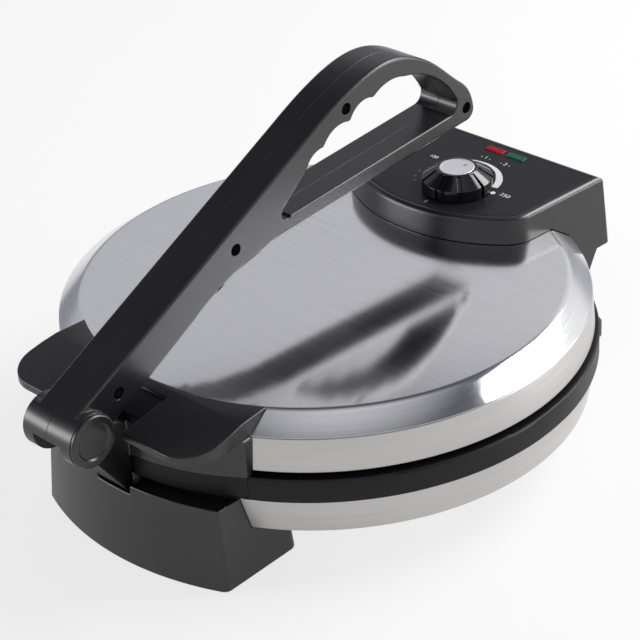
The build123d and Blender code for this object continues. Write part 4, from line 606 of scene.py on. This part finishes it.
DOT_PLACE = (0.0212, 0.0066)
DOT_R = 0.0016
dot = bmesh.new()
bmesh.ops.create_circle(dot, cap_ends=True, segments=32, radius=DOT_R)
bmesh.ops.translate(dot, vec=(knob_x + DOT_PLACE[0], knob_y + DOT_PLACE[1], panel_z), verts=dot.verts)
inked(dot, "heat_dot", "lid", "panel_film", white_ink)

# each mark's name, characters, height, place from the knob's axis, and ink
NUMBERS = (
    ("number_low", "100", 0.0040, (-0.0360, 0.0200), white_ink),
    ("number_high", "250", 0.0048, (0.0290, 0.0066), white_ink),
    ("number_off", "0", 0.0040, (-0.0030, -0.0262), white_ink),
    ("number_step_1", "1", 0.0034, (-0.0254, -0.0100), faded_ink),
    ("number_step_2", "2", 0.0034, (-0.0290, -0.0055), faded_ink),
    ("number_step_3", "3", 0.0034, (-0.0310, 0.0010), faded_ink),
    ("number_lamp_1", "- 1 -", 0.0044, (-0.0103, 0.0376), white_ink),
    ("number_lamp_2", "- 2 -", 0.0044, (0.0043, 0.0376), white_ink),
)
for name, characters, height, place, ink in NUMBERS:
    text = bpy.data.curves.new(name, "FONT")
    text.body = characters
    text.size = height
    text.align_x = "CENTER"
    curve = bpy.data.objects.new(name + "_curve", text)
    number = bmesh.new()
    number.from_mesh(bpy.data.meshes.new_from_object(curve))
    bpy.data.objects.remove(curve)
    bmesh.ops.remove_doubles(number, verts=number.verts, dist=1e-7)
    bmesh.ops.translate(number, vec=(knob_x + place[0], knob_y + place[1], panel_z), verts=number.verts)
    inked(number, name, "lid", "panel_film", ink)

# ---------------------------------------------------------------- lamp lenses
# Two lenses of deeply dyed plastic, red for power and green for ready, stand a little proud
# of the panel.  Fine prisms moulded in them spread the light of the neon lamps below.
LENS_EDGE = 0.00025
PRISMS = 300.0            # scale of the prisms' wave


def lens_plastic(name, deep, bright):
    """Deeply dyed plastic with fine prisms along X."""
    material, tree, shader = blank(name, deep, 0.16, Specular_IOR_Level=0.08)
    place = on_object(tree)
    prisms = add_node(tree, "TexWave", {"Vector": place}, {"Scale": PRISMS}, bands_direction="X")
    cloud = noise(tree, place, 220.0)
    tone, rough = blend(tree, cloud, deep, bright), spread(tree, cloud, 0.12, 0.22)
    link_surface(tree, shader, tone, rough, prisms.outputs[0], 0.35, 0.0002)
    return material


red_lens = lens_plastic("red_lens", (0.22, 0.004, 0.010), (0.34, 0.007, 0.016))
green_lens = lens_plastic("green_lens", (0.006, 0.080, 0.040), (0.012, 0.125, 0.065))
moulding("power_lens", LENS_EDGE, "lid", "red_lens", red_lens, sharp=30)
moulding("ready_lens", LENS_EDGE, "lid", "green_lens", green_lens, sharp=30)

GLASS = (0.95, 0.90, 0.85)
lamp_glass, tree, shader = blank("lamp_glass", GLASS, 0.03, Transmission_Weight=1.0, IOR=1.47)
swirl = noise(tree, on_object(tree), 300.0)
tone = blend(tree, swirl, (0.88, 0.80, 0.74), (0.96, 0.92, 0.88))
link_surface(tree, shader, tone, spread(tree, swirl, 0.02, 0.06), swirl, 0.1, 0.00002)
finish_nodes(lamp_glass, "neon_lamps")

# ---------------------------------------------------------------- knob and its disc
# The knob is a glossy black moulding, grooved for the fingers.  Its disc is spun aluminium
# with a small black pointer, and both turn with the thermostat's steel shaft.  A plated nut
# holds the shaft's bush in the box.
KNOB_EDGE = 0.00022
knob_plastic = moulded("knob_plastic", BLACK, 0.13, 3200, 0.04)
moulding("knob", KNOB_EDGE, "knob", "knob_plastic", knob_plastic, sharp=40)

DISC_RIM = 0.0008         # raised rim of the disc
DISC_DISH = 0.00012       # depth of the flat inside it
DISC_TURN = 0.00025       # rounding of the disc's edge
RIM_TURN = 0.00010        # and of the inside of its rim
low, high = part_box("knob_disc")
disc_r = (high.x - low.x) / 2
disc = spun([
    (0, low.z, 0),
    (disc_r, low.z, 0),
    (disc_r, high.z, DISC_TURN),
    (disc_r - DISC_RIM, high.z, RIM_TURN),
    (disc_r - 1.5 * DISC_RIM, high.z - DISC_DISH, RIM_TURN),
    (0, high.z - DISC_DISH, 0),
], steps=96)
bmesh.ops.translate(disc, vec=(knob_x, knob_y, 0), verts=disc.verts)
SPUN = (0.88, 0.88, 0.91)
spun_metal, tree, shader = blank("spun_aluminium", SPUN, 0.42, Metallic=0.85)
place = add_node(tree, "TexCoord").outputs["Object"]
on_axis = {"Location": (-knob_x, -knob_y, 0), "Scale": (1, 1, 0)}
centred = add_node(tree, "Mapping", {"Vector": place}, on_axis)
from_axis = add_node(tree, "VectorMath", {0: centred.outputs[0]}, operation="LENGTH").outputs["Value"]
turning = {"Scale": 3600.0, "Detail": 3.0}
rings = add_node(tree, "TexNoise", {"W": from_axis}, turning, noise_dimensions="1D").outputs[0]
tone = tint(tree, rings, SPUN, 0.88)
link_surface(tree, shader, tone, spread(tree, rings, 0.36, 0.52), rings, 0.3, 0.00002)
keep(disc, "knob_disc_spun", "knob", "disc_metal", spun_metal, "knob_disc")

POINTER_PLACE = 0.0052    # its middle, from the knob's axis
POINTER_TURN = radians(62)
POINTER_L = 0.0032
POINTER_SLIM = 0.42       # its width, against an even-sided one
pointer = bmesh.new()
bmesh.ops.create_circle(pointer, cap_ends=True, segments=3, radius=POINTER_L * 2 / 3)
bmesh.ops.rotate(pointer, matrix=Matrix.Rotation(-pi / 2, 3, "Z"), verts=pointer.verts)
bmesh.ops.scale(pointer, vec=(1, POINTER_SLIM, 1), verts=pointer.verts)
bmesh.ops.rotate(pointer, matrix=Matrix.Rotation(POINTER_TURN, 3, "Z"), verts=pointer.verts)
bmesh.ops.translate(pointer, verts=pointer.verts, vec=(
    knob_x + POINTER_PLACE * cos(POINTER_TURN),
    knob_y + POINTER_PLACE * sin(POINTER_TURN),
    high.z - DISC_DISH,
))
inked(pointer, "knob_pointer", "knob", "knob_plastic", knob_plastic)
finish_nodes(ground_pin, "thermostat_shaft")
finish_nodes(zinc_screw, "bush_nut")

# ---------------------------------------------------------------- hinge of the lid
# A ground steel pin runs through the rear foot's knuckles and the box's ears, in bushes of
# natural nylon, with a spring clip on each end.  Plated screws hold box and bracket.
NYLON = (0.72, 0.70, 0.63)
nylon = moulded("natural_nylon", NYLON, 0.42, 900, 0.15, Subsurface_Weight=0.1)
finish_nodes(nylon, "hinge_bushes")
finish_nodes(ground_pin, "hinge_pin")
finish_nodes(zinc_screw, "hinge_clips", "box_screws", "bracket_screws")

# ---------------------------------------------------------------- studio
# A white floor between pale walls that darken overhead, and three soft lamps: one high at the
# back, one low at the back right and one low at the front left.
bpy.context.scene.view_settings.view_transform = "Standard"
FLOOR_R = 9.0
FLOOR_PAINT = (0.85, 0.85, 0.85, 1)
FLOOR_GLOW = 0.75         # share of the floor's own white as the camera sees it
MIRRORED_GLOW = 0.50      # and as gloss and glass see it, so that they keep its shadows


def seen(tree, camera=1.0, gloss=1.0):
    """Share for the rays that show the surround itself: the camera's, and those by gloss or glass."""
    path = add_node(tree, "LightPath").outputs
    mirrored = {0: path["Is Glossy Ray"], 1: path["Is Transmission Ray"]}
    mirrored = add_node(tree, "Math", mirrored, operation="MAXIMUM").outputs[0]
    mirrored = add_node(tree, "Math", {0: mirrored}, {1: gloss}, operation="MULTIPLY").outputs[0]
    direct = add_node(tree, "Math", {0: path["Is Camera Ray"]}, {1: camera}, operation="MULTIPLY")
    return add_node(tree, "Math", {0: direct.outputs[0], 1: mirrored}, operation="MAXIMUM").outputs[0]


floor_bm = bmesh.new()
bmesh.ops.create_circle(floor_bm, cap_ends=True, segments=64, radius=FLOOR_R)
floor_mesh = bpy.data.meshes.new("floor")
floor_bm.to_mesh(floor_mesh)
floor_bm.free()
floor = bpy.data.objects.new("floor", floor_mesh)
stage.objects.link(floor)
floor_white = bpy.data.materials.new("floor_white")
floor_white.use_nodes = True
tree = floor_white.node_tree
tree.nodes.clear()
paint = add_node(tree, "BsdfDiffuse", values={"Color": FLOOR_PAINT})
glow = add_node(tree, "Emission", values={"Strength": 1.0})
share = seen(tree, FLOOR_GLOW, MIRRORED_GLOW)
mixed = add_node(tree, "MixShader", {0: share, 1: paint.outputs[0], 2: glow.outputs[0]})
add_node(tree, "OutputMaterial", {"Surface": mixed.outputs[0]})
floor_mesh.materials.append(floor_white)

world = bpy.data.worlds.new("studio")
bpy.context.scene.world = world
world.use_nodes = True
tree = world.node_tree
sky = tree.nodes["Background"]
direction = add_node(tree, "SeparateXYZ", {0: add_node(tree, "TexCoord").outputs["Generated"]})
# level of the walls by height, 0 at the horizon and 1 overhead, and by side, from left to right
WALLS = ((0.0, 0.55), (0.16, 0.60), (0.26, 1.0), (0.58, 1.0), (0.68, 0.16), (0.86, 0.11), (1.0, 0.66))
SIDES = ((0.0, 0.50), (0.20, 0.58), (0.54, 1.0), (1.0, 1.0))
COOL = 0.9                # power of the blue, so that darker walls are slightly bluer
AMBIENT = 0.6             # strength of the walls as light, against 1 where they are seen


def wall_light(tree, amount, stops):
    """Level of the walls along one direction."""
    ramp = add_node(tree, "ValToRGB", {"Fac": amount})
    for index, (position, level) in enumerate(stops):
        elements = ramp.color_ramp.elements
        stop = elements[index] if index < 2 else elements.new(position)
        stop.position = position
        stop.color = (level, level, level ** COOL, 1)
    return ramp.outputs["Color"]


sideways = add_node(tree, "MapRange", {"Value": direction.outputs["X"]}, {"From Min": -1.0})
lit = add_node(tree, "VectorMath", operation="MULTIPLY", links={
    0: wall_light(tree, direction.outputs["Z"], WALLS),
    1: wall_light(tree, sideways.outputs[0], SIDES),
})
tree.links.new(lit.outputs["Vector"], sky.inputs["Color"])
tree.links.new(spread(tree, seen(tree), AMBIENT, 1.0), sky.inputs["Strength"])

LAMP_AIM = Vector((0, 0, 0.08))    # the object's middle


def softbox(name, place, size, power):
    """Lamp of a width and height in metres and a power in watts, aimed at the object's middle."""
    light = bpy.data.lights.new(name, "AREA")
    light.shape = "RECTANGLE"
    light.size, light.size_y = size
    light.energy = power
    lamp = bpy.data.objects.new(name, light)
    stage.objects.link(lamp)
    aim = LAMP_AIM - Vector(place)
    lamp.matrix_world = Matrix.Translation(place) @ aim.to_track_quat("-Z", "Y").to_matrix().to_4x4()


softbox("back_right_lamp", (0.50, 1.12, 1.20), (1.20, 0.65), 24)
softbox("low_right_lamp", (0.95, 1.05, 0.35), (0.9, 0.5), 7)
softbox("front_left_lamp", (-0.95, -1.10, 0.35), (0.9, 0.5), 9)
